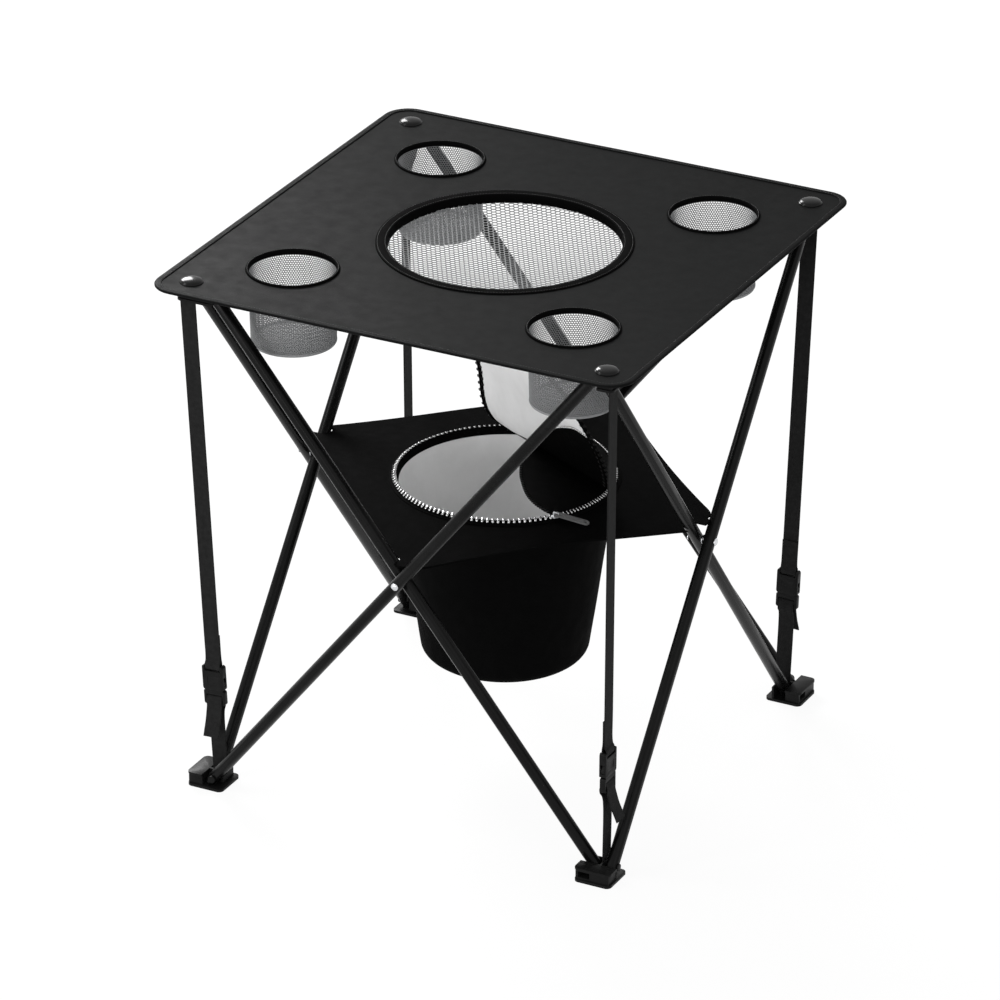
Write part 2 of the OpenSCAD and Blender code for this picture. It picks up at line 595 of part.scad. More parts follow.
top_panel();
hem_back();
centre_net();
cup(0);  // cup_front_left
cup(1);  // cup_front_right
cup(2);  // cup_back_right
cup(3);  // cup_back_left
cap(0);  // cap_front_left
cap(1);  // cap_front_right
cap(2);  // cap_back_right
cap(3);  // cap_back_left
outer_tube(0);  // outer_tube_front
outer_tube(1);  // outer_tube_right
outer_tube(2);  // outer_tube_back
outer_tube(3);  // outer_tube_left
inner_tube(0);  // inner_tube_front
inner_tube(1);  // inner_tube_right
inner_tube(2);  // inner_tube_back
inner_tube(3);  // inner_tube_left
pivot_rivet(0);  // pivot_rivet_front
pivot_rivet(1);  // pivot_rivet_right
pivot_rivet(2);  // pivot_rivet_back
pivot_rivet(3);  // pivot_rivet_left
foot(0);  // foot_front_left
foot(1);  // foot_front_right
foot(2);  // foot_back_right
foot(3);  // foot_back_left
top_bracket(0);  // top_bracket_front_left
top_bracket(1);  // top_bracket_front_right
top_bracket(2);  // top_bracket_back_right
top_bracket(3);  // top_bracket_back_left
upper_strap(0);  // upper_strap_front_left
upper_strap(1);  // upper_strap_front_right
upper_strap(2);  // upper_strap_back_right
upper_strap(3);  // upper_strap_back_left
lower_strap(0);  // lower_strap_front_left
lower_strap(1);  // lower_strap_front_right
lower_strap(2);  // lower_strap_back_right
lower_strap(3);  // lower_strap_back_left
buckle_socket(0);  // buckle_socket_front_left
buckle_socket(1);  // buckle_socket_front_right
buckle_socket(2);  // buckle_socket_back_right
buckle_socket(3);  // buckle_socket_back_left
buckle_plug(0);  // buckle_plug_front_left
buckle_plug(1);  // buckle_plug_front_right
buckle_plug(2);  // buckle_plug_back_right
buckle_plug(3);  // buckle_plug_back_left
shelf_panel();
shelf_loop(0);  // shelf_loop_front
shelf_loop(1);  // shelf_loop_right
shelf_loop(2);  // shelf_loop_back
shelf_loop(3);  // shelf_loop_left
cooler_shell();
cooler_liner();
rim_zip();
lid_seam_panel();
lid_shell();
lid_lining();
zip_slider();
slider_pull();
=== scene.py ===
"""Folding camping table: cloth top with net and mesh cup holders, crossed tubes, straps, shelf and cooler."""
import json
import math
import bmesh
import bpy
import numpy as np
from mathutils import Matrix, Vector

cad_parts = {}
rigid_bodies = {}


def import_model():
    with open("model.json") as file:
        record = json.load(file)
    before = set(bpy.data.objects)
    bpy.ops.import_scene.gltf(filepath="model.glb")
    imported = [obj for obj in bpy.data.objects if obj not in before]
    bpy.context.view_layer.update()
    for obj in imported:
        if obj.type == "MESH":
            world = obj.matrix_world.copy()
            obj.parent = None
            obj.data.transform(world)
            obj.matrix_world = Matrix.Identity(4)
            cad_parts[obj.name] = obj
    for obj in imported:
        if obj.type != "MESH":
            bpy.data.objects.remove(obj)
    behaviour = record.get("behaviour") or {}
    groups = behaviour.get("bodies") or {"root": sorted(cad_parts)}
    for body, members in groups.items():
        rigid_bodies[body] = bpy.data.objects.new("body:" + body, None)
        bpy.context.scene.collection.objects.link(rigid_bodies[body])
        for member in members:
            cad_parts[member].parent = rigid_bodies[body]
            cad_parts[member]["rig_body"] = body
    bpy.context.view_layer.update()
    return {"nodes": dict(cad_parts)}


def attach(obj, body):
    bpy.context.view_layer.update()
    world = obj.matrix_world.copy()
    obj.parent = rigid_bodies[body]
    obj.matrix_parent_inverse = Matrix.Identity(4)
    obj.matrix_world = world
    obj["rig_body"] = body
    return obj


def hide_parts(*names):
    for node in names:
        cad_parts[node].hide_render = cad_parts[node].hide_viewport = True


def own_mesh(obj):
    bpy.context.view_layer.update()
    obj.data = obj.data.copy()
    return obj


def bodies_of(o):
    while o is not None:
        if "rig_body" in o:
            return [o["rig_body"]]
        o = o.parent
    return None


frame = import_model()

bl_info = {
    "name": "Folding camping table",
    "version": (1, 0, 0),
    "blender": (4, 5, 0),
    "location": "3D View > Sidebar > Camping table",
    "description": "Cloth, nets, webbing, mouldings and cooler for a folding camping table",
    "category": "Add Mesh",
}

# Lengths below are in millimetres unless a name says otherwise; meshes are written in metres.
MM = 0.001
STITCH = (2.4, 0.7, 0.5)
CORNERS = ("front_left", "front_right", "back_right", "back_left")
SIDES = ("front", "right", "back", "left")

TOP_HALF = 287.5          # half the width of the cloth top
TOP_Z = 610.0             # upper face of the cloth top
TOP_T = 1.6
TOP_R = 30.0
HEM_SEAM = 6.3            # the hem's stitches lie this far in from the edge
CAP_AT = 250.0
CUP_AT = 170.0
CUP_RING_R = 51.5
CUP_RING_W = 4.0
CUP_DEPTH = 85.0
CUP_TAPER = 2.0
NET_RING_R = 141.5
NET_RING_W = 13.0
NET_SKIRT = 9.3           # height of the inner wall that carries the net
HINGE_AT = 233.0          # hinge lines lie at this distance from the middle

LEAN = math.atan2(291.8, 233.0)
PIVOT_Z = 304.1
OUTER_Y = 251.7
INNER_Y = 236.7
TUBE_R = 7.0
SLOT_CLEAR = 1.6

SHELF_Z = 326.02
SHELF_T = 2.4
SHELF_TOP = SHELF_Z + SHELF_T / 2
SHELF_R = 250.0
SHELF_CORNER_R = 40.0
SHELF_SAG = 7.0
MOUTH_R = 119.0
SHELL_R = 123.9
FLOOR_R = 95.0
BAG_FILLET = 15.0
BAG_BOTTOM = 112.82
ZIP_W = 10.0
RIM_UP = 3.8            # how far the rim stands up over the shelf
ZIP_END = 74.0           # the zip is closed from the slider round to this direction
SLIDER_DIR = -36.0
LID_DIR = 62.0
LID_FOLD_AT = 70.0
LID_OPEN = 65.0
LID_R = 118.4

WEB_W = 19.0
WEB_T = 1.5
STRAP_LOW_Z = 17.45        # height of a strap's lower end
STRAP_TOP = (-24.0, 4.0, -18.0, 4.0)
BUCKLE_Z = (124.0, 128.0, 134.0, 134.0)
SOCKET_L = 30.0
PLUG_FRAME_L = 18.0
PLUG_T = 6.6              # thickness of the plug's strap frame


# Plain helpers

def quarter(i, point):
    """The point turned about Z by i quarter turns."""
    x, y, z = point
    for _ in range(i % 4):
        x, y = -y, x
    return x, y, z


def compass(degrees):
    """The unit direction at an angle."""
    a = math.radians(degrees)
    return math.cos(a), math.sin(a)


def turned(degrees, axis):
    return Matrix.Rotation(math.radians(degrees), 4, axis)


def metres(lengths):
    return tuple(c * MM for c in lengths)


def settings():
    return bpy.context.scene.camping_table


def new_object(name, data):
    obj = bpy.data.objects.new(name, data)
    bpy.context.scene.collection.objects.link(obj)
    return obj


def set_uv(mesh, face_uvs):
    layer = mesh.uv_layers.new(name="cut")
    flat = [value for uvs in face_uvs for uv in uvs for value in uv]
    layer.data.foreach_set("uv", flat)


def skin(rows, wrap=False, close=False, cap=False):
    """Faces and lengthwise UVs over rows of points.

    wrap joins a row's ends, close joins the last row to the first, cap fills the first and last row.
    """
    n, m = len(rows), len(rows[0])
    pts = np.array(rows, float)
    across = np.linalg.norm(np.diff(np.concatenate([pts, pts[:, :1]], 1), axis=1), axis=2)
    along = np.linalg.norm(np.diff(np.concatenate([pts, pts[:1]], 0), axis=0), axis=2)
    u = np.concatenate([[0], np.cumsum(across.max(0))]) * MM
    v = np.concatenate([[0], np.cumsum(along.max(1))]) * MM
    faces, uvs = [], []
    for i in range(n if close else n - 1):
        for j in range(m if wrap else m - 1):
            k, l = (i + 1) % n, (j + 1) % m
            faces.append([i * m + j, i * m + l, k * m + l, k * m + j])
            uvs.append([(u[j], v[i]), (u[j + 1], v[i]), (u[j + 1], v[i + 1]), (u[j], v[i + 1])])
    if cap:
        for i, order in ((0, -1), (n - 1, 1)):
            faces.append([i * m + j for j in range(m)][::order])
            uvs.append([(u[j], v[i]) for j in range(m)])
    return [tuple(p) for p in pts.reshape(-1, 3)], faces, uvs


def piece(name, parts, finish, outward=True, smooth=40.0, merge=0.0):
    """An object from a list of (points, faces, uvs) skins, in millimetres."""
    points, faces, uvs = [], [], []
    for p, f, w in parts:
        base = len(points)
        points += p
        faces += [[base + a for a in face] for face in f]
        uvs += w
    mesh = bpy.data.meshes.new(name)
    mesh.from_pydata([(x * MM, y * MM, z * MM) for x, y, z in points], [], faces)
    set_uv(mesh, uvs)
    work = bmesh.new()
    work.from_mesh(mesh)
    if merge:
        bmesh.ops.remove_doubles(work, verts=work.verts, dist=merge * MM)
    bmesh.ops.dissolve_degenerate(work, dist=1e-6, edges=work.edges)
    if outward:
        bmesh.ops.recalc_face_normals(work, faces=work.faces)
    work.to_mesh(mesh)
    work.free()
    mesh.materials.append(finish)
    smoothed(mesh, smooth)
    return new_object(name, mesh)


def smoothed(mesh, angle):
    mesh.shade_smooth()
    mesh.set_sharp_from_angle(angle=math.radians(angle))


def lathe(profile, centre=(0.0, 0.0), steps=96, closed=False, first=0.0, last=360.0):
    """A skin turned about a vertical line through centre from (radius, height) points."""
    whole = abs(last - first - 360.0) < 1e-6
    count = steps if whole else steps + 1
    rows = []
    for k in range(count):
        c, s = compass(first + (last - first) * k / steps)
        rows.append([(centre[0] + r * c, centre[1] + r * s, z) for r, z in profile])
    return skin(rows, wrap=closed, close=whole, cap=closed and not whole)


def arc(cx, cy, r, a0, a1, n):
    return [(cx + r * c, cy + r * s) for c, s in (compass(a0 + (a1 - a0) * k / n) for k in range(n + 1))]


def ripple(x, y, z, size, seed=0.0):
    """A smooth, repeatable wobble between about -1 and 1."""
    a, b, c = x / size + seed, y / size - 1.7 * seed, z / size + 0.6 * seed
    return (math.sin(1.3 * a + 0.7 * b + 0.4 * c) + math.sin(0.8 * b - 1.1 * c + 1.9 * math.sin(0.5 * a))
            + math.sin(1.7 * c + 0.9 * a + 1.3 * math.sin(0.7 * b))) / 3


def finished(obj, *modifiers, sharp=None):
    """Applies modifiers given as (kind, settings), leaving a plain mesh; sharp splits its shading again."""
    for kind, values in modifiers:
        mod = obj.modifiers.new(kind.lower(), kind)
        for key, value in values.items():
            setattr(mod, key, value)
    graph = bpy.context.evaluated_depsgraph_get()
    mesh = bpy.data.meshes.new_from_object(obj.evaluated_get(graph), preserve_all_data_layers=True,
                                           depsgraph=graph)
    obj.modifiers.clear()
    old, obj.data = obj.data, mesh
    mesh.name = obj.name
    bpy.data.meshes.remove(old)
    if sharp:
        smoothed(mesh, sharp)
    return obj


def walled(sheet, wall, sharp, towards=None):
    """Gives a sheet its wall, below its outer face, which is first turned towards a direction."""
    faces = sheet.data.polygons
    if towards and faces[len(faces) // 2].normal.dot(Vector(towards)) < 0:
        sheet.data.flip_normals()
    return finished(sheet, ("SOLIDIFY", {"thickness": wall * MM, "offset": -1.0}), sharp=sharp)


def body_of(node):
    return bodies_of(frame["nodes"][node])[0]


def cloth_sides(obj, side):
    """Rides a half of the top on its side's body."""
    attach(obj, "top_sheet" if side == "front" else "hem_back")
    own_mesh(obj)
    return obj


def gathered(obj, body="shelf"):
    """Rides on the body that carries the cooler, the shelf's unless another is given."""
    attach(obj, body)
    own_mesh(obj)
    return obj


# Node helpers

def add(tree, kind, inputs=None, **values):
    """A node with its settings; inputs maps a socket's name or number to a value or another node's output."""
    node = tree.nodes.new(kind)
    for key, value in values.items():
        setattr(node, key, value)
    for key, value in (inputs or {}).items():
        socket = node.inputs[key]
        if isinstance(value, bpy.types.NodeSocket):
            tree.links.new(value, socket)
        else:
            socket.default_value = value
    return node


def calc(tree, operation, a, b=0.0):
    return add(tree, "ShaderNodeMath", {0: a, 1: b}, operation=operation).outputs[0]


def times(tree, a, b):
    return calc(tree, "MULTIPLY", a, b)


def shader(name, colour, roughness, use, **sockets):
    """A Principled material with its pattern's coordinates in metres: the object's own or the cloth's cut.

    Sockets are given with underscores for spaces.
    """
    mat = bpy.data.materials.new(name)
    mat.use_nodes = True
    bsdf = mat.node_tree.nodes["Principled BSDF"]
    bsdf.inputs["Base Color"].default_value = (*colour, 1)
    bsdf.inputs["Roughness"].default_value = roughness
    for key, value in sockets.items():
        bsdf.inputs[key.replace("_", " ")].default_value = value
    if use == "cut":
        at = add(mat.node_tree, "ShaderNodeUVMap", uv_map="cut").outputs[0]
    else:
        at = add(mat.node_tree, "ShaderNodeTexCoord").outputs["Object"]
    return mat, mat.node_tree, bsdf, at


def noise(tree, at, scale, detail=2.0, rough=0.5):
    values = {"Vector": at, "Scale": scale, "Detail": detail, "Roughness": rough}
    return add(tree, "ShaderNodeTexNoise", values).outputs[0]


def spread(tree, value, low, high):
    return add(tree, "ShaderNodeMapRange", {"Value": value, "From Min": 0.3, "From Max": 0.7,
                                            "To Min": low, "To Max": high}).outputs[0]


def tinted(tree, bsdf, colour, pattern, dark, light):
    """Base colour between a darker and a lighter shade of the same colour."""
    factor = spread(tree, pattern, 0.0, 1.0)
    shades = [tuple(min(1.0, c * k) for c in colour) + (1,) for k in (dark, light)]
    mix = add(tree, "ShaderNodeMix", {0: factor, 6: shades[0], 7: shades[1]}, data_type="RGBA")
    tree.links.new(mix.outputs[2], bsdf.inputs["Base Color"])


def glossed(tree, bsdf, pattern, low, high):
    tree.links.new(spread(tree, pattern, low, high), bsdf.inputs["Roughness"])


def bumped(tree, bsdf, height, depth_mm, strength=1.0):
    bump = add(tree, "ShaderNodeBump", {"Height": height, "Distance": depth_mm * MM, "Strength": strength})
    tree.links.new(bump.outputs[0], bsdf.inputs["Normal"])


def weave(tree, at, pitch_u, pitch_v):
    """Plain weave: raised where a thread passes over, in metres of pitch."""
    xyz = add(tree, "ShaderNodeSeparateXYZ", {0: at})
    waves = [calc(tree, "SINE", times(tree, xyz.outputs[k], math.pi / pitch))
             for k, pitch in enumerate((pitch_u, pitch_v))]
    return times(tree, *waves)


def cloth(name, colour, pitch=0.0006, rough=0.8, specular=0.3, grain=0.5):
    mat, tree, bsdf, at = shader(name, colour, rough, "cut", Specular_IOR_Level=specular)
    mottle = calc(tree, "ADD", times(tree, noise(tree, at, 14.0, 4.0), 0.55),
                  times(tree, noise(tree, at, 420.0, 2.0), 0.45))
    tinted(tree, bsdf, colour, mottle, 0.86, 1.16)
    glossed(tree, bsdf, noise(tree, at, 60.0), rough - 0.06, rough + 0.06)
    height = calc(tree, "ADD", times(tree, weave(tree, at, pitch, pitch), 0.5),
                  times(tree, noise(tree, at, 900.0, 3.0), grain * 2))
    bumped(tree, bsdf, height, 0.1, 0.4)
    return mat


def webbing(name, colour):
    mat, tree, bsdf, at = shader(name, colour, 0.62, "cut", Specular_IOR_Level=0.06)
    ribs = weave(tree, at, 0.0016, 0.0011)
    tinted(tree, bsdf, colour, noise(tree, at, 160.0, 3.0), 0.8, 1.25)
    glossed(tree, bsdf, ribs, 0.7, 0.52)
    bumped(tree, bsdf, calc(tree, "ADD", ribs, times(tree, noise(tree, at, 1500.0), 0.4)), 0.12, 0.5)
    return mat


def paint(name, colour):
    """Glossy paint on a tube: faint orange peel and rubbed patches."""
    mat, tree, bsdf, at = shader(name, colour, 0.22, "object", Specular_IOR_Level=0.1)
    rubbed = noise(tree, at, 35.0, 5.0, 0.65)
    tinted(tree, bsdf, colour, rubbed, 0.8, 1.5)
    glossed(tree, bsdf, rubbed, 0.18, 0.34)
    bumped(tree, bsdf, noise(tree, at, 700.0, 1.0), 0.02, 0.5)
    return mat


def moulding(name, colour, rough=0.38, grain=0.5, specular=0.07):
    """Moulded plastic: fine spark grain with smoother worn places."""
    mat, tree, bsdf, at = shader(name, colour, rough, "object", Specular_IOR_Level=specular)
    wear = noise(tree, at, 55.0, 4.0, 0.6)
    tinted(tree, bsdf, colour, wear, 0.85, 1.35)
    glossed(tree, bsdf, wear, rough - 0.08, rough + 0.1)
    bumped(tree, bsdf, noise(tree, at, 2200.0, 2.0), 0.03, grain)
    return mat


def metal(name, colour, rough=0.3):
    mat, tree, bsdf, at = shader(name, colour, rough, "object", Metallic=1.0)
    marks = noise(tree, at, 240.0, 4.0, 0.7)
    tinted(tree, bsdf, colour, marks, 0.75, 1.1)
    glossed(tree, bsdf, marks, rough - 0.08, rough + 0.12)
    bumped(tree, bsdf, marks, 0.03, 0.5)
    return mat


def film(name, colour):
    """Welded white film with soft creases, painted a little darker in their hollows as painted shade."""
    rough = 0.5
    mat, tree, bsdf, at = shader(name, colour, rough, "cut", Specular_IOR_Level=0.25)
    folds_and_shade = calc(tree, "ADD", noise(tree, at, 16.0, 3.0, 0.55), times(tree, noise(tree, at, 90.0, 4.0), 0.25))
    # painted shade: the folds that give the relief also darken the film where it lies low
    tinted(tree, bsdf, colour, folds_and_shade, 0.93, 1.03)
    glossed(tree, bsdf, noise(tree, at, 40.0), rough - 0.08, rough + 0.1)
    bumped(tree, bsdf, folds_and_shade, 2.5, 0.6)
    return mat


def thread(name, colour, rough=0.6):
    mat, tree, bsdf, at = shader(name, colour, rough, "object", Specular_IOR_Level=0.4)
    fuzz = noise(tree, at, 900.0, 2.0)
    tinted(tree, bsdf, colour, fuzz, 0.8, 1.15)
    bumped(tree, bsdf, fuzz, 0.05, 0.5)
    return mat


# Each finish as (material, colour setting, its other values)
FINISHES = {
    "top cloth": (cloth, "top_colour", {"rough": 0.46, "specular": 0.014, "grain": 0.8}),
    "binding tape": (cloth, "binding_colour", {"pitch": 0.0009, "rough": 0.72, "specular": 0.006}),
    "shelf cloth": (cloth, "shelf_colour", {"rough": 0.55, "specular": 0.003}),
    "cooler cloth": (cloth, "cooler_colour", {"rough": 0.8, "specular": 0.02}),
    "net thread": (thread, "net_colour", {}),
    "sewing thread": (thread, "sewing_colour", {"rough": 0.5}),
    "strap webbing": (webbing, "webbing_colour", {}),
    "tube paint": (paint, "paint_colour", {}),
    "moulded plastic": (moulding, "plastic_colour", {}),
    "cap plastic": (moulding, "plastic_colour", {"rough": 0.16, "grain": 0.1, "specular": 0.12}),
    "rivet steel": (metal, "metal_colour", {"rough": 0.26}),
    "slider steel": (metal, "metal_colour", {"rough": 0.3}),
    "zip teeth": (metal, "teeth_colour", {"rough": 0.22}),
    "dark teeth": (moulding, "plastic_colour", {"rough": 0.35}),
    "pull plastic": (moulding, "pull_colour", {"rough": 0.42}),
    "white film": (film, "liner_colour", {}),
}


def finish(name):
    made = bpy.data.materials.get(name)
    if made:
        return made
    kind, colour, values = FINISHES[name]
    return kind(name, getattr(settings(), colour), **values)


class Tree:
    """A Geometry Nodes group with named inputs, after a first geometry input."""

    KINDS = {int: "NodeSocketInt", float: "NodeSocketFloat", bool: "NodeSocketBool",
             tuple: "NodeSocketVector", str: "NodeSocketMaterial"}

    def __init__(self, name, **inputs):
        self.tree = bpy.data.node_groups.new(name, "GeometryNodeTree")
        face = self.tree.interface
        face.new_socket("Geometry", in_out="INPUT", socket_type="NodeSocketGeometry")
        for key, default in inputs.items():
            kind = self.KINDS[type(default)]
            socket = face.new_socket(key.replace("_", " "), in_out="INPUT", socket_type=kind)
            if type(default) is not str:
                socket.default_value = default
        face.new_socket("Geometry", in_out="OUTPUT", socket_type="NodeSocketGeometry")
        self.inputs = self.tree.nodes.new("NodeGroupInput").outputs

    def node(self, kind, inputs=None, **values):
        """A geometry node's first output."""
        return add(self.tree, "GeometryNode" + kind, inputs, **values).outputs[0]

    def out(self, geometry):
        """Ends the tree: instances made real, smooth, in the material that is asked for."""
        real = self.node("RealizeInstances", {0: geometry})
        soft = self.node("SetShadeSmooth", {0: real})
        done = self.node("SetMaterial", {"Geometry": soft, "Material": self.inputs["Material"]})
        end = self.tree.nodes.new("NodeGroupOutput")
        self.tree.links.new(done, end.inputs[0])
        return self.tree


def row_tree():
    """Small solids along a path: stitches (round) or teeth (boxy), their Y along the path's out attribute."""
    t = Tree("row along a path", Pitch=0.003, Size=(0.002, 0.0006, 0.0006), Boxy=False, Material="")
    curve = t.node("MeshToCurve", {0: t.inputs["Geometry"]})
    even = t.node("ResampleCurve", {"Curve": curve, "Length": t.inputs["Pitch"]}, mode="LENGTH")
    bead = t.node("MeshIcoSphere", {"Radius": 0.5, "Subdivisions": 1})
    box = t.node("MeshCube", {"Size": (1.0, 1.0, 1.0)})
    shape = t.node("Switch", {"Switch": t.inputs["Boxy"], "False": bead, "True": box},
                   input_type="GEOMETRY")
    tangent = t.node("InputTangent")
    out = t.node("InputNamedAttribute", {"Name": "out"}, data_type="FLOAT_VECTOR")
    along = add(t.tree, "FunctionNodeAlignRotationToVector", {"Vector": tangent}, axis="X").outputs[0]
    turn = add(t.tree, "FunctionNodeAlignRotationToVector", {"Rotation": along, "Vector": out},
               axis="Y", pivot_axis="X").outputs[0]
    row = t.node("InstanceOnPoints", {"Points": even, "Instance": shape, "Rotation": turn,
                                      "Scale": t.inputs["Size"]})
    return t.out(row)


def lattice(t, columns, rows, pitch):
    """Six-sided cells as the dual of a sheared triangle lattice, its corner at the origin."""
    tree = t.tree
    gaps = [calc(tree, "SUBTRACT", count, 1.0) for count in (columns, rows)]
    width = times(tree, gaps[0], pitch)
    row = times(tree, pitch, math.sqrt(3) / 2)
    height = times(tree, gaps[1], row)
    grid = t.node("MeshGrid", {"Size X": width, "Size Y": height, "Vertices X": columns,
                               "Vertices Y": rows})
    tri = t.node("Triangulate", {0: grid}, quad_method="FIXED")
    at = add(tree, "ShaderNodeSeparateXYZ", {0: t.node("InputPosition")})
    shift = times(tree, at.outputs[1], -1 / math.sqrt(3))
    moved = add(tree, "ShaderNodeCombineXYZ", {0: shift}).outputs[0]
    sheared = t.node("SetPosition", {"Geometry": tri, "Offset": moved})
    return t.node("DualMesh", {0: sheared})


def strands(t, net, strand):
    """Every edge of the net as a thin round thread."""
    lines = t.node("MeshToCurve", {0: net})
    radius = times(t.tree, strand, 0.5)
    profile = t.node("CurvePrimitiveCircle", {"Resolution": 5, "Radius": radius})
    return t.node("CurveToMesh", {"Curve": lines, "Profile Curve": profile})


def disc_net_tree():
    """A round net that sags in the middle."""
    t = Tree("round net", Radius=0.13, Pitch=0.0086, Strand=0.001, Sag=0.01, Height=0.6, Columns=60, Rows=40,
             Material="")
    net = lattice(t, t.inputs["Columns"], t.inputs["Rows"], t.inputs["Pitch"])
    at = t.node("InputPosition")
    xyz = add(t.tree, "ShaderNodeSeparateXYZ", {0: at})
    far = add(t.tree, "ShaderNodeVectorMath", {0: at}, operation="LENGTH").outputs["Value"]
    outside = add(t.tree, "FunctionNodeCompare", {"A": far, "B": t.inputs["Radius"]},
                  operation="GREATER_THAN").outputs[0]
    kept = t.node("DeleteGeometry", {"Geometry": net, "Selection": outside}, domain="POINT")
    share = calc(t.tree, "DIVIDE", far, t.inputs["Radius"])
    drop = times(t.tree, calc(t.tree, "SUBTRACT", times(t.tree, share, share), 1.0), t.inputs["Sag"])
    z = calc(t.tree, "ADD", drop, t.inputs["Height"])
    where = add(t.tree, "ShaderNodeCombineXYZ", {0: xyz.outputs[0], 1: xyz.outputs[1], 2: z}).outputs[0]
    hung = t.node("SetPosition", {"Geometry": kept, "Position": where})
    return t.out(strands(t, hung, t.inputs["Strand"]))


def wall_net_tree():
    """A net round a slightly tapered wall; Columns cells go once round."""
    t = Tree("wall net", Top_Radius=0.049, Floor_Radius=0.047, Top=0.606, Depth=0.08, Strand=0.0008,
             Columns=62, Rows=24, Material="")
    tree = t.tree
    pitch = calc(tree, "DIVIDE", times(tree, t.inputs["Top Radius"], 2 * math.pi), t.inputs["Columns"])
    net = lattice(t, calc(tree, "ADD", t.inputs["Columns"], 2.0), t.inputs["Rows"], pitch)
    xyz = add(tree, "ShaderNodeSeparateXYZ", {0: t.node("InputPosition")})
    angle = calc(tree, "DIVIDE", xyz.outputs[0], t.inputs["Top Radius"])
    gaps = calc(tree, "SUBTRACT", t.inputs["Rows"], 1.0)
    tall = times(tree, gaps, times(tree, pitch, math.sqrt(3) / 2))
    down = calc(tree, "SUBTRACT", 0.5, calc(tree, "DIVIDE", xyz.outputs[1], tall))
    radius = calc(tree, "ADD", t.inputs["Top Radius"],
                  times(tree, down, calc(tree, "SUBTRACT", t.inputs["Floor Radius"], t.inputs["Top Radius"])))
    where = add(tree, "ShaderNodeCombineXYZ", {
        0: times(tree, radius, calc(tree, "COSINE", angle)),
        1: times(tree, radius, calc(tree, "SINE", angle)),
        2: calc(tree, "SUBTRACT", t.inputs["Top"], times(tree, down, t.inputs["Depth"]))}).outputs[0]
    round_it = t.node("SetPosition", {"Geometry": net, "Position": where})
    closed = t.node("MergeByDistance", {"Geometry": round_it, "Distance": 0.0001})
    return t.out(strands(t, closed, t.inputs["Strand"]))


TREES = {"row": row_tree, "disc net": disc_net_tree, "wall net": wall_net_tree}


def grown(name, kind, material, source=None, **values):
    """A plain mesh made by one of the trees from named values."""
    tree = bpy.data.node_groups.get(TREES[kind].__name__) or TREES[kind]()
    tree.name = TREES[kind].__name__
    obj = new_object(name, source or bpy.data.meshes.new(name))
    mod = obj.modifiers.new("nodes", "NODES")
    mod.node_group = tree
    sockets = {item.name: item.identifier for item in tree.interface.items_tree if item.in_out == "INPUT"}
    values["Material"] = finish(material)
    for key, value in values.items():
        mod[sockets[key.replace("_", " ")]] = value
    return finished(obj)


def path_mesh(name, lines):
    """Polylines for the row tree, from lists of (point, out direction)."""
    points, edges, outs = [], [], []
    for line in lines:
        base = len(points)
        points += [metres(p) for p, _ in line]
        outs += [tuple(o) for _, o in line]
        edges += [(base + k, base + k + 1) for k in range(len(line) - 1)]
    mesh = bpy.data.meshes.new(name)
    mesh.from_pydata(points, edges, [])
    layer = mesh.attributes.new("out", "FLOAT_VECTOR", "POINT")
    layer.data.foreach_set("vector", [c for o in outs for c in o])
    return mesh


def teeth(name, lines, size, pitch, material, boxy=True):
    return grown(name, "row", material, path_mesh(name, lines), Pitch=pitch * MM, Size=metres(size),
                 Boxy=boxy)


def stitches(name, lines, pitch=3.2):
    return teeth(name, lines, STITCH, pitch, "sewing thread", boxy=False)


def ring_line(r, z, centre=(0.0, 0.0), first=0.0, last=360.0, steps=180):
    turns = [compass(first + (last - first) * k / steps) for k in range(steps + 1)]
    return [((centre[0] + r * c, centre[1] + r * s, z), (c, s, 0)) for c, s in turns]


def cut_half(obj, name, side):
    """A copy of the object on one side of y = 0."""
    mesh = obj.data.copy()
    work = bmesh.new()
    work.from_mesh(mesh)
    bmesh.ops.bisect_plane(work, geom=work.verts[:] + work.edges[:] + work.faces[:], plane_co=(0, 0, 0),
                           plane_no=(0, 1, 0), clear_outer=side == "front", clear_inner=side == "back")
    work.to_mesh(mesh)
    work.free()
    return new_object(name, mesh)


def dressed(node, name, material, bevel, sharp=32.0):
    """A copy of a CAD solid with its triangles joined, edges rounded and a finish, in place of the node."""
    mesh = frame["nodes"][node].data.copy()
    mesh.materials.clear()
    work = bmesh.new()
    work.from_mesh(mesh)
    bmesh.ops.remove_doubles(work, verts=work.verts, dist=2e-6)
    bmesh.ops.dissolve_limit(work, angle_limit=math.radians(1.0), verts=work.verts, edges=work.edges)
    edges = [e for e in work.edges if e.is_manifold and e.calc_face_angle(0) > math.radians(sharp)]
    bmesh.ops.bevel(work, geom=edges, offset=bevel * MM, segments=2, profile=0.5, affect="EDGES",
                    clamp_overlap=True)
    work.to_mesh(mesh)
    work.free()
    mesh.materials.append(finish(material))
    smoothed(mesh, sharp)
    obj = new_object(name, mesh)
    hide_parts(node)
    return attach(obj, body_of(node))


# The cloth top

def corner_map(x, y, half, r):
    """A square's point moved so that the square's corners become arcs."""
    s = half - r
    a, b = abs(x) - s, abs(y) - s
    if a <= 0 or b <= 0:
        return x, y
    k = max(a, b) / math.hypot(a, b)
    return math.copysign(s + a * k, x), math.copysign(s + b * k, y)


def top_holes():
    return [(0.0, 0.0, NET_RING_R - NET_RING_W / 2)] + [
        (*quarter(i, (-CUP_AT, -CUP_AT, 0))[:2], CUP_RING_R - CUP_RING_W / 2) for i in range(4)]


def top_height(x, y):
    """The taut cloth dips a little between its corners."""
    k = (1 - (x / TOP_HALF) ** 2) * (1 - (y / TOP_HALF) ** 2)
    return TOP_Z - 0.4 * k + 0.12 * ripple(x, y, 0, 38)


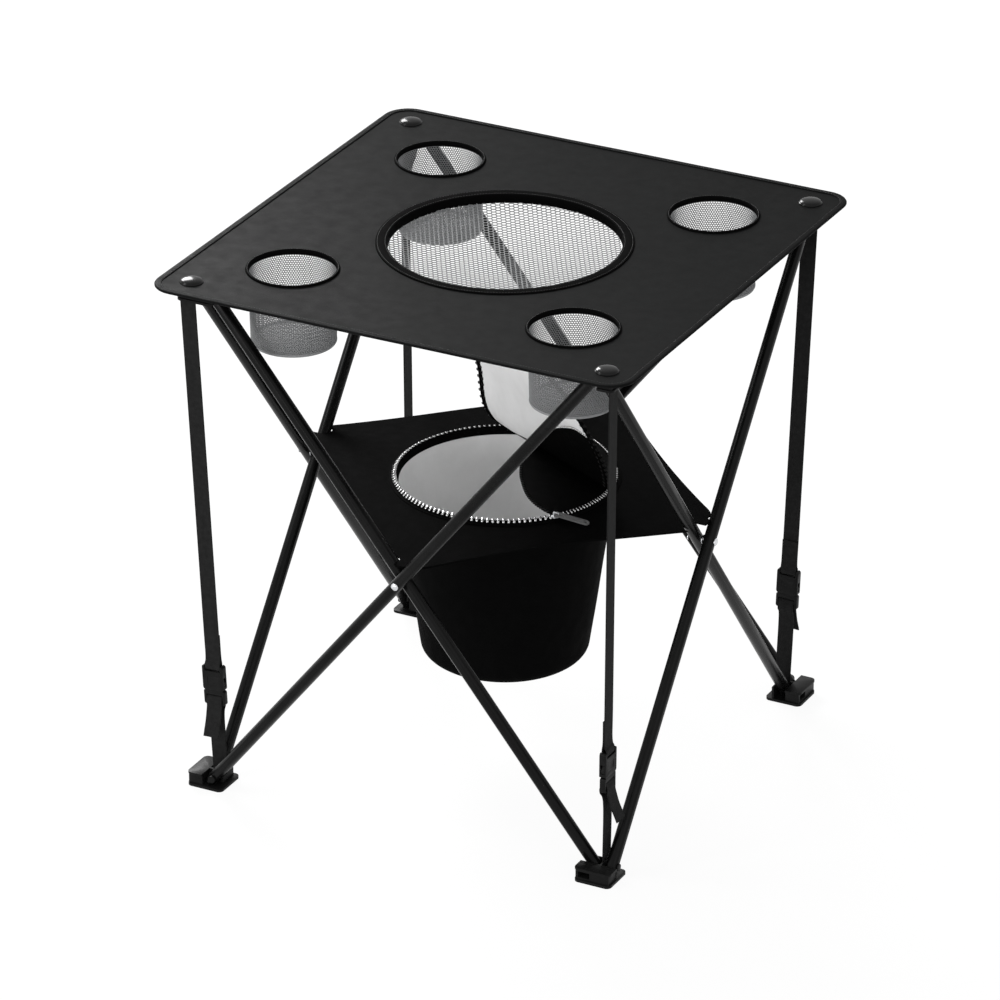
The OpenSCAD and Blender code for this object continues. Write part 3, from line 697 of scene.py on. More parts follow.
def top_cloth(side):
    step, inset = 5.0, 1.0
    half = TOP_HALF - inset
    count = 2 * int(round(TOP_HALF / step))
    axis = [half * (2 * k / count - 1) for k in range(count + 1)]
    holes = top_holes()
    keep_y = (lambda y: y < 0) if side == "front" else (lambda y: y > 0)
    grid = {(i, j): corner_map(axis[i], axis[j], half, TOP_R - inset)
            for i in range(count + 1) for j in range(count + 1)}

    def inside(i, j):
        x, y = (sum(grid[i + a, j + b][k] for a in (0, 1) for b in (0, 1)) / 4 for k in (0, 1))
        return next((h for h in holes if math.hypot(x - h[0], y - h[1]) < h[2]), None)

    hollow = {(i, j): inside(i, j) for i in range(count) for j in range(count)}
    for (i, j), (x, y) in list(grid.items()):
        around = [hollow.get((i - a, j - b)) for a in (0, 1) for b in (0, 1)]
        hole = next((h for h in around if h), None)
        if hole and not all(around):
            d = math.hypot(x - hole[0], y - hole[1])
            grid[i, j] = (hole[0] + (x - hole[0]) * hole[2] / d, hole[1] + (y - hole[1]) * hole[2] / d)
    index, points, faces, uvs = {}, [], [], []
    for i in range(count):
        for j in range(count):
            if hollow[i, j] or not keep_y((axis[j] + axis[j + 1]) / 2):
                continue
            face = []
            for key in ((i, j), (i + 1, j), (i + 1, j + 1), (i, j + 1)):
                if key not in index:
                    index[key] = len(points)
                    points.append((*grid[key], top_height(*grid[key])))
                face.append(index[key])
            faces.append(face)
            uvs.append([(points[k][0] * MM, points[k][1] * MM) for k in face])
    obj = piece(f"top_cloth_{side}", [(points, faces, uvs)], finish("top cloth"), outward=False)
    return walled(obj, TOP_T, 40.0)


def outline(half, r, side, steps=10, gap=12.0):
    """Half of the rounded square's outline, anticlockwise, as (x, y, inward x, inward y)."""
    s = half - r
    pts = []
    quarters = (2, 3) if side == "front" else (0, 1)
    for q in quarters:
        cx, cy = quarter(q, (s, s, 0))[:2]
        for k in range(steps + 1):
            nx, ny = compass(90 * q + 90 * k / steps)
            pts.append((cx + r * nx, cy + r * ny, -nx, -ny))
    ends = [(-half, 0.0, 1.0, 0.0), (half, 0.0, -1.0, 0.0)]
    if side == "back":
        ends.reverse()
    pts = ends[:1] + pts + ends[1:]
    fine = [pts[0]]
    for a, b in zip(pts, pts[1:]):
        n = max(1, int(math.hypot(b[0] - a[0], b[1] - a[1]) / gap))
        fine += [tuple(a[c] + (b[c] - a[c]) * k / n for c in range(4)) for k in range(1, n + 1)]
    return fine


HEM_SECTION = ((8.0, 609.7), (7.9, 610.5), (7.4, 610.95), (4.2, 611.05), (1.5, 610.95), (0.5, 610.5),
               (0.0, 609.7), (0.1, 608.8), (0.6, 608.15), (1.6, 607.9), (7.2, 607.9), (7.9, 608.3))


def build_top():
    for side in ("front", "back"):
        panel = top_cloth(side)
        edge = outline(TOP_HALF, TOP_R, side)
        rows = [[(x + n * nx, y + n * ny, z + 0.12 * ripple(x, y, 0, 30)) for n, z in HEM_SECTION]
                for x, y, nx, ny in edge]
        hem = piece(f"top_hem_{side}", [skin(rows, wrap=True, cap=True)], finish("top cloth"))
        seam = [((x + HEM_SEAM * nx, y + HEM_SEAM * ny, 611.05), (0, 0, 1)) for x, y, nx, ny in edge]
        sewn = stitches(f"hem_stitches_{side}", [seam])
        first = 180.0 if side == "front" else 0.0
        r0, r1 = NET_RING_R - NET_RING_W, NET_RING_R
        low = TOP_Z - NET_SKIRT
        section = [(r1, 610.0), (r1 - 0.3, 610.9), (r1 - 1.4, 611.25), (r0 + 1.6, 611.25), (r0 + 0.4, 610.9),
                   (r0, 610.0), (r0, low), (r0 + 0.5, low - 0.6), (r0 + 1.3, low), (r0 + 1.5, 608.1),
                   (r1, 608.1)]
        half_turn = lathe(section, steps=72, closed=True, first=first, last=first + 180)
        ring = piece(f"net_ring_{side}", [half_turn], finish("binding tape"))
        ring_seams = stitches(f"net_ring_stitches_{side}", [
            ring_line(r, 611.3, first=first, last=first + 180) for r in (r1 - 2.2, r0 + 2.2)])
        for obj in (panel, hem, sewn, ring, ring_seams):
            cloth_sides(obj, side)
        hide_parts(*(("top_panel",) if side == "front" else ("top_panel", "hem_back")))


def build_net():
    s = settings()
    whole = grown("centre_net", "disc net", "net thread", Radius=(NET_RING_R - NET_RING_W + 0.8) * MM,
                  Pitch=s.net_pitch, Strand=s.net_strand, Sag=s.net_sag,
                  Height=(TOP_Z - NET_SKIRT + 0.4) * MM, Columns=80, Rows=56)
    for side in ("front", "back"):
        half = cut_half(whole, f"centre_net_{side}", side)
        cloth_sides(half, side)
        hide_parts("centre_net")
    bpy.data.objects.remove(whole)


def build_cups():
    s = settings()
    r_in, r_out = CUP_RING_R - CUP_RING_W, CUP_RING_R
    section = [(r_out, 610.0), (r_out - 0.3, 611.2), (r_out - 1.2, 611.9), (r_in + 1.2, 611.9),
               (r_in + 0.3, 611.2), (r_in, 610.0), (r_in + 0.1, 606.4), (r_in + 0.9, 605.6),
               (r_in + 1.9, 606.2), (r_out - 0.6, 607.9)]
    bottom, wall_top = TOP_Z - CUP_DEPTH, 606.5
    r_top, r_low = r_in + 0.9, r_in + 0.9 - CUP_TAPER
    hem = [(r_low + 0.7, bottom + 3.6), (r_low + 0.9, bottom + 1.6), (r_low + 0.3, bottom + 0.5),
           (r_low - 1.6, bottom + 0.8), (r_low - 1.7, bottom + 1.6), (r_low - 0.3, bottom + 2.0),
           (r_low - 0.2, bottom + 3.6)]
    gap = 2 * math.pi * r_top / s.cup_cells
    for i, corner in enumerate(CORNERS):
        centre = quarter(i, (-CUP_AT, -CUP_AT, 0))[:2]
        body = "top_" + corner
        solid = lathe(section, centre, steps=72, closed=True)
        ring = piece(f"cup_ring_{corner}", [solid], finish("binding tape"))
        wall = grown(f"cup_wall_{corner}", "wall net", "net thread", Top_Radius=r_top * MM,
                     Floor_Radius=r_low * MM, Top=wall_top * MM, Depth=(wall_top - bottom - 1.5) * MM,
                     Strand=s.cup_strand, Columns=s.cup_cells,
                     Rows=int(round((wall_top - bottom) / (gap * math.sqrt(3) / 2))) + 2)
        floor = grown(f"cup_floor_{corner}", "disc net", "net thread", Radius=(r_low + 0.2) * MM,
                      Pitch=gap * MM, Strand=s.cup_strand, Sag=0.002, Height=(bottom + 2.4) * MM,
                      Columns=64, Rows=43)
        solid = lathe(hem, centre, steps=60, closed=True)
        seam = piece(f"cup_seam_{corner}", [solid], finish("net thread"))
        seam_line = ring_line((r_in + r_out) / 2, 611.9, centre)
        sewn = stitches(f"cup_ring_stitches_{corner}", [seam_line], pitch=2.8)
        for obj in (wall, floor):
            obj.data.transform(Matrix.Translation((centre[0] * MM, centre[1] * MM, 0)))
        for obj in (ring, wall, floor, seam, sewn):
            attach(obj, body)
            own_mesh(obj)
        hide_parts("cup_" + corner)


def build_caps():
    for i, corner in enumerate(CORNERS):
        centre = quarter(i, (-CAP_AT, -CAP_AT, 0))[:2]
        profile = [(13.0, 609.9), (13.2, 610.5), (12.9, 611.0), (12.2, 611.3)]
        profile += [(12.0 * math.cos(a), 611.3 + 3.0 * math.sin(a)) for a in
                    (math.radians(90 * k / 12) for k in range(1, 12))] + [(0.0, 614.3)]
        cap = piece(f"top_cap_{corner}", [lathe(profile, centre, steps=64)], finish("cap plastic"),
                    merge=0.001)
        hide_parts("cap_" + corner)
        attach(cap, "top_" + corner)


# Frame

def build_frame():
    for side in SIDES:
        for kind in ("outer", "inner"):
            dressed(f"{kind}_tube_{side}", f"{kind}_leg_{side}", "tube paint", bevel=0.5,
                    sharp=30)
        dressed(f"pivot_rivet_{side}", f"rivet_{side}", "rivet steel", bevel=0.15)
    for corner in CORNERS:
        dressed(f"foot_{corner}", f"foot_moulding_{corner}", "moulded plastic", bevel=0.5)
        dressed(f"top_bracket_{corner}", f"bracket_moulding_{corner}", "moulded plastic",
                bevel=0.5)


# Straps and buckles

def strap_matrix(i):
    """The strap's own frame: Z along it, X across its width, at the foot's end."""
    web_x, web_y, web_y_top = 3.0, -10.1, -14.4
    bottom, top = STRAP_LOW_Z, TOP_Z - TOP_T - 0.2 - 17.0 - 0.45
    dx, dy, dz = STRAP_TOP[i] - web_x, web_y_top - web_y, top - bottom
    length = math.sqrt(dx * dx + dy * dy + dz * dz)
    matrix = (turned(90 * i, "Z")
              @ Matrix.Translation((web_x - HINGE_AT, web_y - HINGE_AT, bottom))
              @ Matrix.Rotation(math.atan2(dx, dz), 4, "Y")
              @ Matrix.Rotation(math.asin(-dy / length), 4, "X"))
    return matrix, length


def smooth_path(points, gap=1.5):
    """Points of a curve through the given ones, close together."""
    p = [np.array(q, float) for q in points]
    p = [2 * p[0] - p[1]] + p + [2 * p[-1] - p[-2]]
    line = []
    for a, b, c, d in zip(p, p[1:], p[2:], p[3:]):
        n = max(1, int(np.linalg.norm(c - b) / gap))
        for k in range(n):
            t = k / n
            line.append(0.5 * (2 * b + (c - a) * t + (2 * a - 5 * b + 4 * c - d) * t * t
                               + (3 * b - a - 3 * c + d) * t ** 3))
    return line + [p[-2]]


def ribbon(points):
    """A skin of webbing along [y, z] points of a strap's frame, its edges rounded."""
    line = smooth_path(points)
    e, h, w = 0.5, WEB_T / 2, WEB_W / 2
    half = [(-w, -h * 0.4), (-w + e, -h), (-w / 2, -h * 0.92), (0, -h), (w / 2, -h * 0.92), (w - e, -h),
            (w, -h * 0.4)]
    section = half + [(x, -n) for x, n in half[::-1]]
    rows = []
    for k, p in enumerate(line):
        d = line[min(k + 1, len(line) - 1)] - line[max(k - 1, 0)]
        d /= np.linalg.norm(d)
        rows.append([(x, p[0] - d[1] * n, p[1] + d[0] * n) for x, n in section])
    return skin(rows, wrap=True, cap=True)


def placed(part, matrix):
    points, faces, uvs = part
    return [tuple(matrix @ Vector(p)) for p in points], faces, uvs


def build_straps():
    bar_r, bar_clear = 1.3, 0.7
    turn_r = bar_r + bar_clear + WEB_T / 2
    for i, corner in enumerate(CORNERS):
        matrix, length = strap_matrix(i)
        mouth = BUCKLE_Z[i] - STRAP_LOW_Z + (PLUG_FRAME_L - SOCKET_L) / 2
        s = mouth + SOCKET_L - 3.2
        upper = [(0, length), (0.25, length * 0.7), (0, s + 60), (0, s + 14), (-turn_r * 0.9, s + 5)]
        upper += [(-turn_r * math.cos(a), s + turn_r * math.sin(a))
                  for a in (math.radians(-30 * k) for k in range(7))]
        upper += [(turn_r * 0.9 + 0.1, s + 6), (WEB_T + 0.15, s + 15), (WEB_T + 0.15, s + 40)]
        s = mouth - PLUG_FRAME_L / 2 - 1
        past = PLUG_T / 2 + WEB_T / 2 + 0.35
        lower = [(0, 0), (0, s - 24), (past, s - 10), (past, s - 4)]
        lower += [(turn_r * math.cos(a), s + turn_r * math.sin(a))
                  for a in (math.radians(30 * k) for k in range(7))]
        lower += [(-past, s - 4), (-past, s - 9), (-past - 1.5, s - 15), (-past - 5, s - 26),
                  (-past - 9.5, s - 36), (-past - 12, s - 42)]
        for kind, path, owner in (("upper", upper, "top_"), ("lower", lower, "foot_")):
            strap = piece(f"strap_{kind}_{corner}", [placed(ribbon(path), matrix)], finish("strap webbing"))
            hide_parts(f"{kind}_strap_{corner}")
            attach(strap, owner + corner)
        dressed(f"buckle_socket_{corner}", f"socket_{corner}", "moulded plastic", bevel=0.4)
        dressed(f"buckle_plug_{corner}", f"plug_{corner}", "moulded plastic", bevel=0.35)


# Shelf

def shelf_edge():
    """The shelf's outline as (angle, radius) over a full turn."""
    c = SHELF_R - SHELF_CORNER_R
    chord = c * math.sqrt(2)
    big = (chord * chord / 4 + SHELF_SAG ** 2) / (2 * SHELF_SAG)
    mid = chord / 2 + SHELF_CORNER_R - SHELF_SAG + big
    table = []
    for k in range(0, 721):
        d = np.array(compass(k / 2))
        best = 0.0
        for q in range(4):
            axis = np.array(compass(90 * q)) * c
            b = d @ axis
            disc = b * b - axis @ axis + SHELF_CORNER_R ** 2
            if disc >= 0:
                best = max(best, b + math.sqrt(disc))
        for q in range(4):
            n = np.array(compass(45 + 90 * q))
            if d @ n > 0:
                flat = (chord / 2 + SHELF_CORNER_R) / (d @ n)
                if abs(flat * (d @ np.array([-n[1], n[0]]))) <= chord / 2:
                    b = d @ (n * mid)
                    disc = b * b - mid * mid + big * big
                    best = max(best, b - math.sqrt(disc) if disc >= 0 else flat)
        table.append(best)
    return np.array(table)


def slot_cutters(name):
    """Round bars where the tubes pass the shelf, drawn out to its edge, as one object."""
    work = bmesh.new()
    r = (TUBE_R + SLOT_CLEAR) * MM
    for i in range(4):
        for y, lean in ((OUTER_Y, -LEAN), (INNER_Y, LEAN)):
            bar = []
            for out in (0.0, OUTER_Y - INNER_Y):
                at = (turned(90 * i, "Z")
                      @ Matrix.Translation((0, -(y + out) * MM, PIVOT_Z * MM))
                      @ Matrix.Rotation(lean, 4, "Y") @ Matrix.Rotation(math.pi / 2, 4, "Y"))
                bar += bmesh.ops.create_cone(work, cap_ends=True, segments=36, radius1=r, radius2=r,
                                             depth=0.2, matrix=at)["verts"]
            faces = list({f for v in bar for f in v.link_faces})
            bmesh.ops.delete(work, geom=faces, context="FACES_ONLY")
            hull = bmesh.ops.convex_hull(work, input=bar)
            spare = [e for e in hull["geom_interior"] if isinstance(e, bmesh.types.BMVert)]
            bmesh.ops.delete(work, geom=spare, context="VERTS")
    mesh = bpy.data.meshes.new(name)
    work.to_mesh(mesh)
    work.free()
    return new_object(name, mesh)


def shelf_height(x, y):
    """Upper face of the shelf, with soft waves that run out from the cooler."""
    r = math.hypot(x, y)
    a = math.atan2(y, x)
    fade = min(1.0, max(0.0, (r - SHELL_R - 6) / 60))
    return SHELF_TOP - fade * (0.9 + 0.8 * math.cos(4 * a) + 0.5 * ripple(x, y, 0, 30, 1.0))


def build_shelf():
    table = shelf_edge()
    angles = np.arange(721) / 2
    cutters = slot_cutters("cutters")
    inner, steps, rings = SHELL_R + 4.0, 30, 26
    for i, side in enumerate(SIDES):
        at = 270 + 90 * i
        for half, sign in (("a", -1), ("b", 1)):
            rows = []
            for k in range(steps + 1):
                a = at + sign * 45 * k / steps
                edge = float(np.interp(a % 360, angles, table)) - 0.8
                ca, sa = compass(a)
                radii = [inner + (edge - inner) * j / rings for j in range(rings + 1)]
                rows.append([(r * ca, r * sa, shelf_height(r * ca, r * sa)) for r in radii])
            sheet = piece(f"shelf_flap_{side}_{half}", [skin(rows)], finish("shelf cloth"), outward=False)
            walled(sheet, SHELF_T, 40.0, (0, 0, 1))
            cut = {"operation": "DIFFERENCE", "solver": "EXACT", "object": cutters}
            finished(sheet, ("BOOLEAN", cut), sharp=40.0)
            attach(sheet, "loop_" + side)
            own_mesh(sheet)
            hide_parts("shelf_panel")
    bpy.data.objects.remove(cutters)
    section = [(SHELL_R - 0.6, SHELF_TOP), (SHELL_R + 5, SHELF_TOP + 0.1), (SHELL_R + 7, SHELF_TOP),
               (SHELL_R + 7, SHELF_Z - SHELF_T / 2), (SHELL_R - 0.6, SHELF_Z - SHELF_T / 2)]
    ring = piece("shelf_ring", [lathe(section, steps=96, closed=True)], finish("shelf cloth"))
    gathered(ring)
    for side in SIDES:
        dressed(f"shelf_loop_{side}", f"loop_{side}_tab", "strap webbing", bevel=0.25)


# Cooler

def wall_up(profile, r, z, steps=44):
    """The profile with a straight wall from its last point up to (r, z)."""
    r0, z0 = profile[-1]
    return profile + [(r0 + (r - r0) * k / steps, z0 + (z - z0) * k / steps) for k in range(1, steps + 1)]


def bag_rows(profile, columns, fade, swell):
    """Rows round the bag; swell(a, r, z) pushes it outwards, except at the rim and the floor's middle."""
    rows = []
    for k in range(columns):
        a = 2 * math.pi * k / columns
        row = []
        for r, z in profile:
            soft = min(1.0, r / 60) * min(1.0, max(0.0, (SHELF_TOP - z) / fade))
            out = r + soft * swell(a, r, z)
            row.append((out * math.cos(a), out * math.sin(a), z))
        rows.append(row)
    return rows


def bag_layer(name, rows, material, thick, node):
    """A closed layer of the bag in place of a CAD node."""
    layer = piece(name, [skin(rows, close=True)], finish(material), merge=0.001)
    walled(layer, thick, 50.0)
    gathered(layer)
    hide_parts(node)
    return layer


def build_cooler():
    def bulge(a, r, z):
        return 0.9 * ripple(r * math.cos(a), r * math.sin(a), z, 34, 2.0)

    def pucker(a, r, z):
        wave = (ripple(60 * a, 0.45 * z, 20 * math.sin(a), 9.0, 4.0)
                + 0.5 * ripple(40 * math.cos(a), 40 * math.sin(a), z, 12, 3.0))
        return -(1.5 + 1.4 * wave)

    outside = [(0.0, BAG_BOTTOM), (FLOOR_R * 0.5, BAG_BOTTOM)]
    outside += arc(FLOOR_R - BAG_FILLET, BAG_BOTTOM + BAG_FILLET, BAG_FILLET, -90, -6, 8)
    outside = wall_up(outside, SHELL_R, SHELF_TOP - 0.2)
    shell = bag_layer("cooler_wall", bag_rows(outside, 128, 50, bulge), "cooler cloth", 1.6,
                      "cooler_shell")

    inside = [(0.0, BAG_BOTTOM + 3.4), (45.0, BAG_BOTTOM + 3.4)]
    inside += arc(FLOOR_R - BAG_FILLET - 1, BAG_BOTTOM + BAG_FILLET, BAG_FILLET - 3.4, -90, -6, 6)
    inside = wall_up(inside, MOUTH_R + 0.8, SHELF_TOP - 2.0)
    bag_layer("cooler_lining", bag_rows(inside, 144, 30, pucker), "white film", 0.5, "cooler_liner")


def build_zip():
    z = SHELF_TOP + 0.1
    section = [(MOUTH_R - 0.9, z - 5.0), (MOUTH_R + 0.2, z), (MOUTH_R + 1.6, z + RIM_UP - 0.4),
               (MOUTH_R + 2.4, z + RIM_UP + 0.3), (MOUTH_R + 3.6, z + RIM_UP), (MOUTH_R + 7.2, z + 1.6),
               (MOUTH_R + ZIP_W, z + 0.8), (MOUTH_R + ZIP_W, z), (MOUTH_R + 6.4, z + 0.2),
               (MOUTH_R + 3.0, z + RIM_UP - 1.6), (MOUTH_R + 1.0, z - 0.4), (MOUTH_R - 0.3, z - 5.0)]
    tape = piece("rim_tape", [lathe(section, steps=120, closed=True)], finish("binding tape"))
    gathered(tape)
    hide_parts("rim_zip")
    fall = -0.65
    open_line = [[(p, (o[0], o[1], fall)) for p, o in
                  ring_line(MOUTH_R + 4.2, z + RIM_UP, first=ZIP_END, last=360 + SLIDER_DIR - 3)]]
    shut_line = [[]]
    for k in range(91):
        direction = SLIDER_DIR + 3 + (ZIP_END - SLIDER_DIR - 3) * k / 90
        r, (c, s) = MOUTH_R + 4.0, compass(direction)
        shut_line[0].append(((r * c, r * s, z + RIM_UP + 0.1 + zip_rise(direction)), (c, s, fall)))
    free = teeth("rim_teeth_open", open_line, (2.4, 5.4, 1.8), 5.8, "zip teeth")
    shut = teeth("rim_teeth_closed", shut_line, (1.5, 4.4, 1.5), 4.5, "zip teeth")
    sewn = stitches("rim_stitches", [ring_line(MOUTH_R + 8.4, z + 0.9)], pitch=3.0)
    for obj in (free, shut, sewn):
        gathered(obj)
    gathered(dressed("zip_slider", "slider_body", "slider steel", bevel=0.3), "slider")
    gathered(dressed("slider_pull", "slider_tab", "pull plastic", bevel=0.3), "pull")


def zip_rise(direction):
    """The open flap pulls the rim up at the back right."""
    return 6.0 * math.exp(-((direction - 72) / 26) ** 2)


# The flap that lies over the right of the mouth: its free edge from the zip's end to the slider
TONGUE_EDGE = ((34, 116, 339.0), (17, 121, 338.8), (5.2, 115.1, 338.3), (-3, 101.7, 337.5),
               (-5.4, 80.7, 336.5), (-1.2, 54.1, 335.5), (6.2, 28.6, 335.0), (18.6, 1.1, 334.5),
               (30.4, -18, 334.2), (48.7, -42.7, 334.0), (65.9, -58.4, 333.6), (84.6, -69.1, 333.2),
               (97, -72.5, 333.0))


def lid_frame():
    """Middle of the fold line and the directions along it, up the open flap and out of its dark face."""
    c, s = compass(LID_DIR)
    level, rise = compass(LID_OPEN)
    along = Vector((-s, c, 0))
    up = Vector((-c * level, -s * level, rise))
    return Vector((LID_FOLD_AT * c, LID_FOLD_AT * s, SHELF_TOP + 1.5)), along, up, along.cross(up)


# How far the left of the open flap curls out of its plane, as (up the flap, off the plane)
FLAP_CURL = ((0, 0), (25, -8), (50, 0), (70, 10), (110, 14), (190, 14))

# The white lining's lower edge on the open flap, as (along the fold, up the flap)
LINING_EDGE = ((91, 3), (60, 6), (31, 16), (4, 36), (-23, 57), (-60, 80), (-90, 92), (-113, 91))


def flap_rows(inset, offset, edge=None, steps_u=72, steps_v=22):
    """Rows over the open flap from its fold, or a lower edge, to its rim, with their height off its plane."""
    start, along, up, out = lid_frame()
    r = LID_R - inset
    first = math.acos(LID_FOLD_AT / r)
    last = 2 * math.pi - first
    low = None
    if edge:
        low = smooth_path(edge, 2.0)
        low = [low[round(k * (len(low) - 1) / steps_u)] for k in range(steps_u + 1)]
        first, last = (math.atan2(p[0], LID_FOLD_AT - p[1]) % (2 * math.pi) for p in (low[0], low[-1]))
    rows = []
    for j in range(steps_v + 1):
        v = j / steps_v
        row = []
        for k in range(steps_u + 1):
            a = first + (last - first) * k / steps_u
            s_rim, t_rim = r * math.sin(a), LID_FOLD_AT - r * math.cos(a)
            s_low, t_low = low[k] if low else (r * math.sin(first) * math.cos(math.pi * k / steps_u), 0.0)
            s, t = s_low + (s_rim - s_low) * v, max(0.0, t_low + (t_rim - t_low) * v)
            left = min(1.0, max(0.0, 0.5 + s / 120))
            near = [np.interp(t + d, *zip(*FLAP_CURL)) for d in (-12, -6, 0, 6, 12)]
            bend = np.mean(near) * min(1.0, t / 15)
            curl = bend * left + max(0.0, t - 110) * 0.06 * (1 - left)
            soft = 0.9 * ripple(s, t, 0, 42, 5.0) * min(1.0, t / 30)
            row.append(tuple(start + along * s + up * t + out * (curl + soft + offset(v, k / steps_u))))
        rows.append(row)
    return rows


def build_lid():
    edge = [np.array(p) for p in smooth_path(TONGUE_EDGE, 4.0)]
    n, m = len(edge) - 1, 26
    fold = compass(LID_DIR)
    root = SHELF_TOP + 4.5
    rows = []
    for k, p in enumerate(edge):
        d = ZIP_END + (SLIDER_DIR - ZIP_END) * k / n
        far = np.array((*compass(d), 0)) * (MOUTH_R + 3.4)
        far[2] = SHELF_TOP + RIM_UP - 0.2 + zip_rise(d)
        row = []
        for j in range(m + 1):
            v = j / m
            q = p + (far - p) * v
            dome = math.sin(math.pi * v) ** 0.8 * math.sin(math.pi * k / n)
            z = q[2] + dome * (5.0 + 0.7 * ripple(q[0], q[1], 0, 26, 2.0))
            past = abs(q[0] * fold[0] + q[1] * fold[1] - LID_FOLD_AT) / 28
            row.append((q[0], q[1], root + (z - root) * min(1.0, past) ** 0.7))
        rows.append(row)
    tongue = piece("lid_sewn_part", [skin(rows)], finish("cooler cloth"), outward=False)
    walled(tongue, 1.8, 50.0, (0, 0, 1))
    line = [(tuple(p), tuple((np.array((44.0, 20.0, 0)) - p * (1, 1, 0)) * -1)) for p in edge[2:-2]]
    bound = teeth("lid_teeth_right", [line], (1.8, 3.0, 1.6), 4.3, "dark teeth")
    for obj in (tongue, bound):
        gathered(obj)
    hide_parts("lid_seam_panel")

    outer = piece("lid_outer", [skin(flap_rows(0.0, lambda v, u: 2.4))], finish("cooler cloth"),
                  outward=False)
    start, _, up, out = lid_frame()
    walled(outer, 2.4, 50.0, out)

    def crown(v, u):
        return -0.4 - 1.6 * min(1.0, (1 - v) * 7, v * 7) ** 0.6 * min(1.0, math.sin(math.pi * u) * 4) ** 0.6

    front = flap_rows(3.2, crown, LINING_EDGE)
    back = flap_rows(3.2, lambda v, u: -0.2, LINING_EDGE)
    beads = [(p, tuple(-out)) for p in flap_rows(3.2, lambda v, u: -1.6, LINING_EDGE)[0]][26:]
    rings = [[row[k] for row in front] + [row[k] for row in back[::-1]] for k in range(len(front[0]))]
    inner = piece("lid_inner", [skin(rings, wrap=True, cap=True)], finish("white film"), smooth=60.0)
    rim_rows = flap_rows(-0.8, lambda v, u: -0.4)[-1]
    middle = start + up * LID_FOLD_AT
    outs = [tuple(Vector(p) - middle) for p in rim_rows]
    flap_teeth = teeth("lid_teeth_left", [list(zip(rim_rows, outs))], (2.6, 12.0, 2.4), 8.0, "dark teeth")
    edging = piece("lid_edging", [skin(tube_rows(rim_rows, 2.3), wrap=True, cap=True)],
                   finish("binding tape"))
    bead_row = teeth("lid_beads", [beads], (2.0, 1.8, 2.4), 3.4, "zip teeth")
    for obj, slot in ((outer, "top_fabric"), (inner, "liner"), (flap_teeth, "top_fabric"),
                      (edging, "top_fabric"), (bead_row, "zip")):
        gathered(obj, "lid")
    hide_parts("lid_shell")
    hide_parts("lid_lining")


def tube_rows(line, r, sides=8):
    """Rings of points round a line, for an edging of radius r."""
    rows = []
    for k, p in enumerate(line):
        d = (Vector(line[min(k + 1, len(line) - 1)]) - Vector(line[max(k - 1, 0)])).normalized()
        a = d.cross(Vector((0.3, 0.5, 0.81))).normalized()
        b = d.cross(a)
        rows.append([tuple(Vector(p) + r * (math.cos(t) * a + math.sin(t) * b)) for t in
                     (2 * math.pi * j / sides for j in range(sides))])
    return rows


# Stage

CAMERA_AT = (3.22239, -6.20176, 3.67087)
CAMERA_ROUND, CAMERA_DOWN, CAMERA_ROLL = 27.5032, 25.7655, -0.0596    # degrees
CAMERA_LENS = 252.0


def area_light(name, at, target, size, power):
    data = bpy.data.lights.new(name, "AREA")
    data.shape, data.size, data.size_y, data.energy = "RECTANGLE", size[0], size[1], power
    obj = new_object(name, data)
    obj.location = at
    obj.rotation_euler = (Vector(target) - Vector(at)).to_track_quat("-Z", "Y").to_euler()


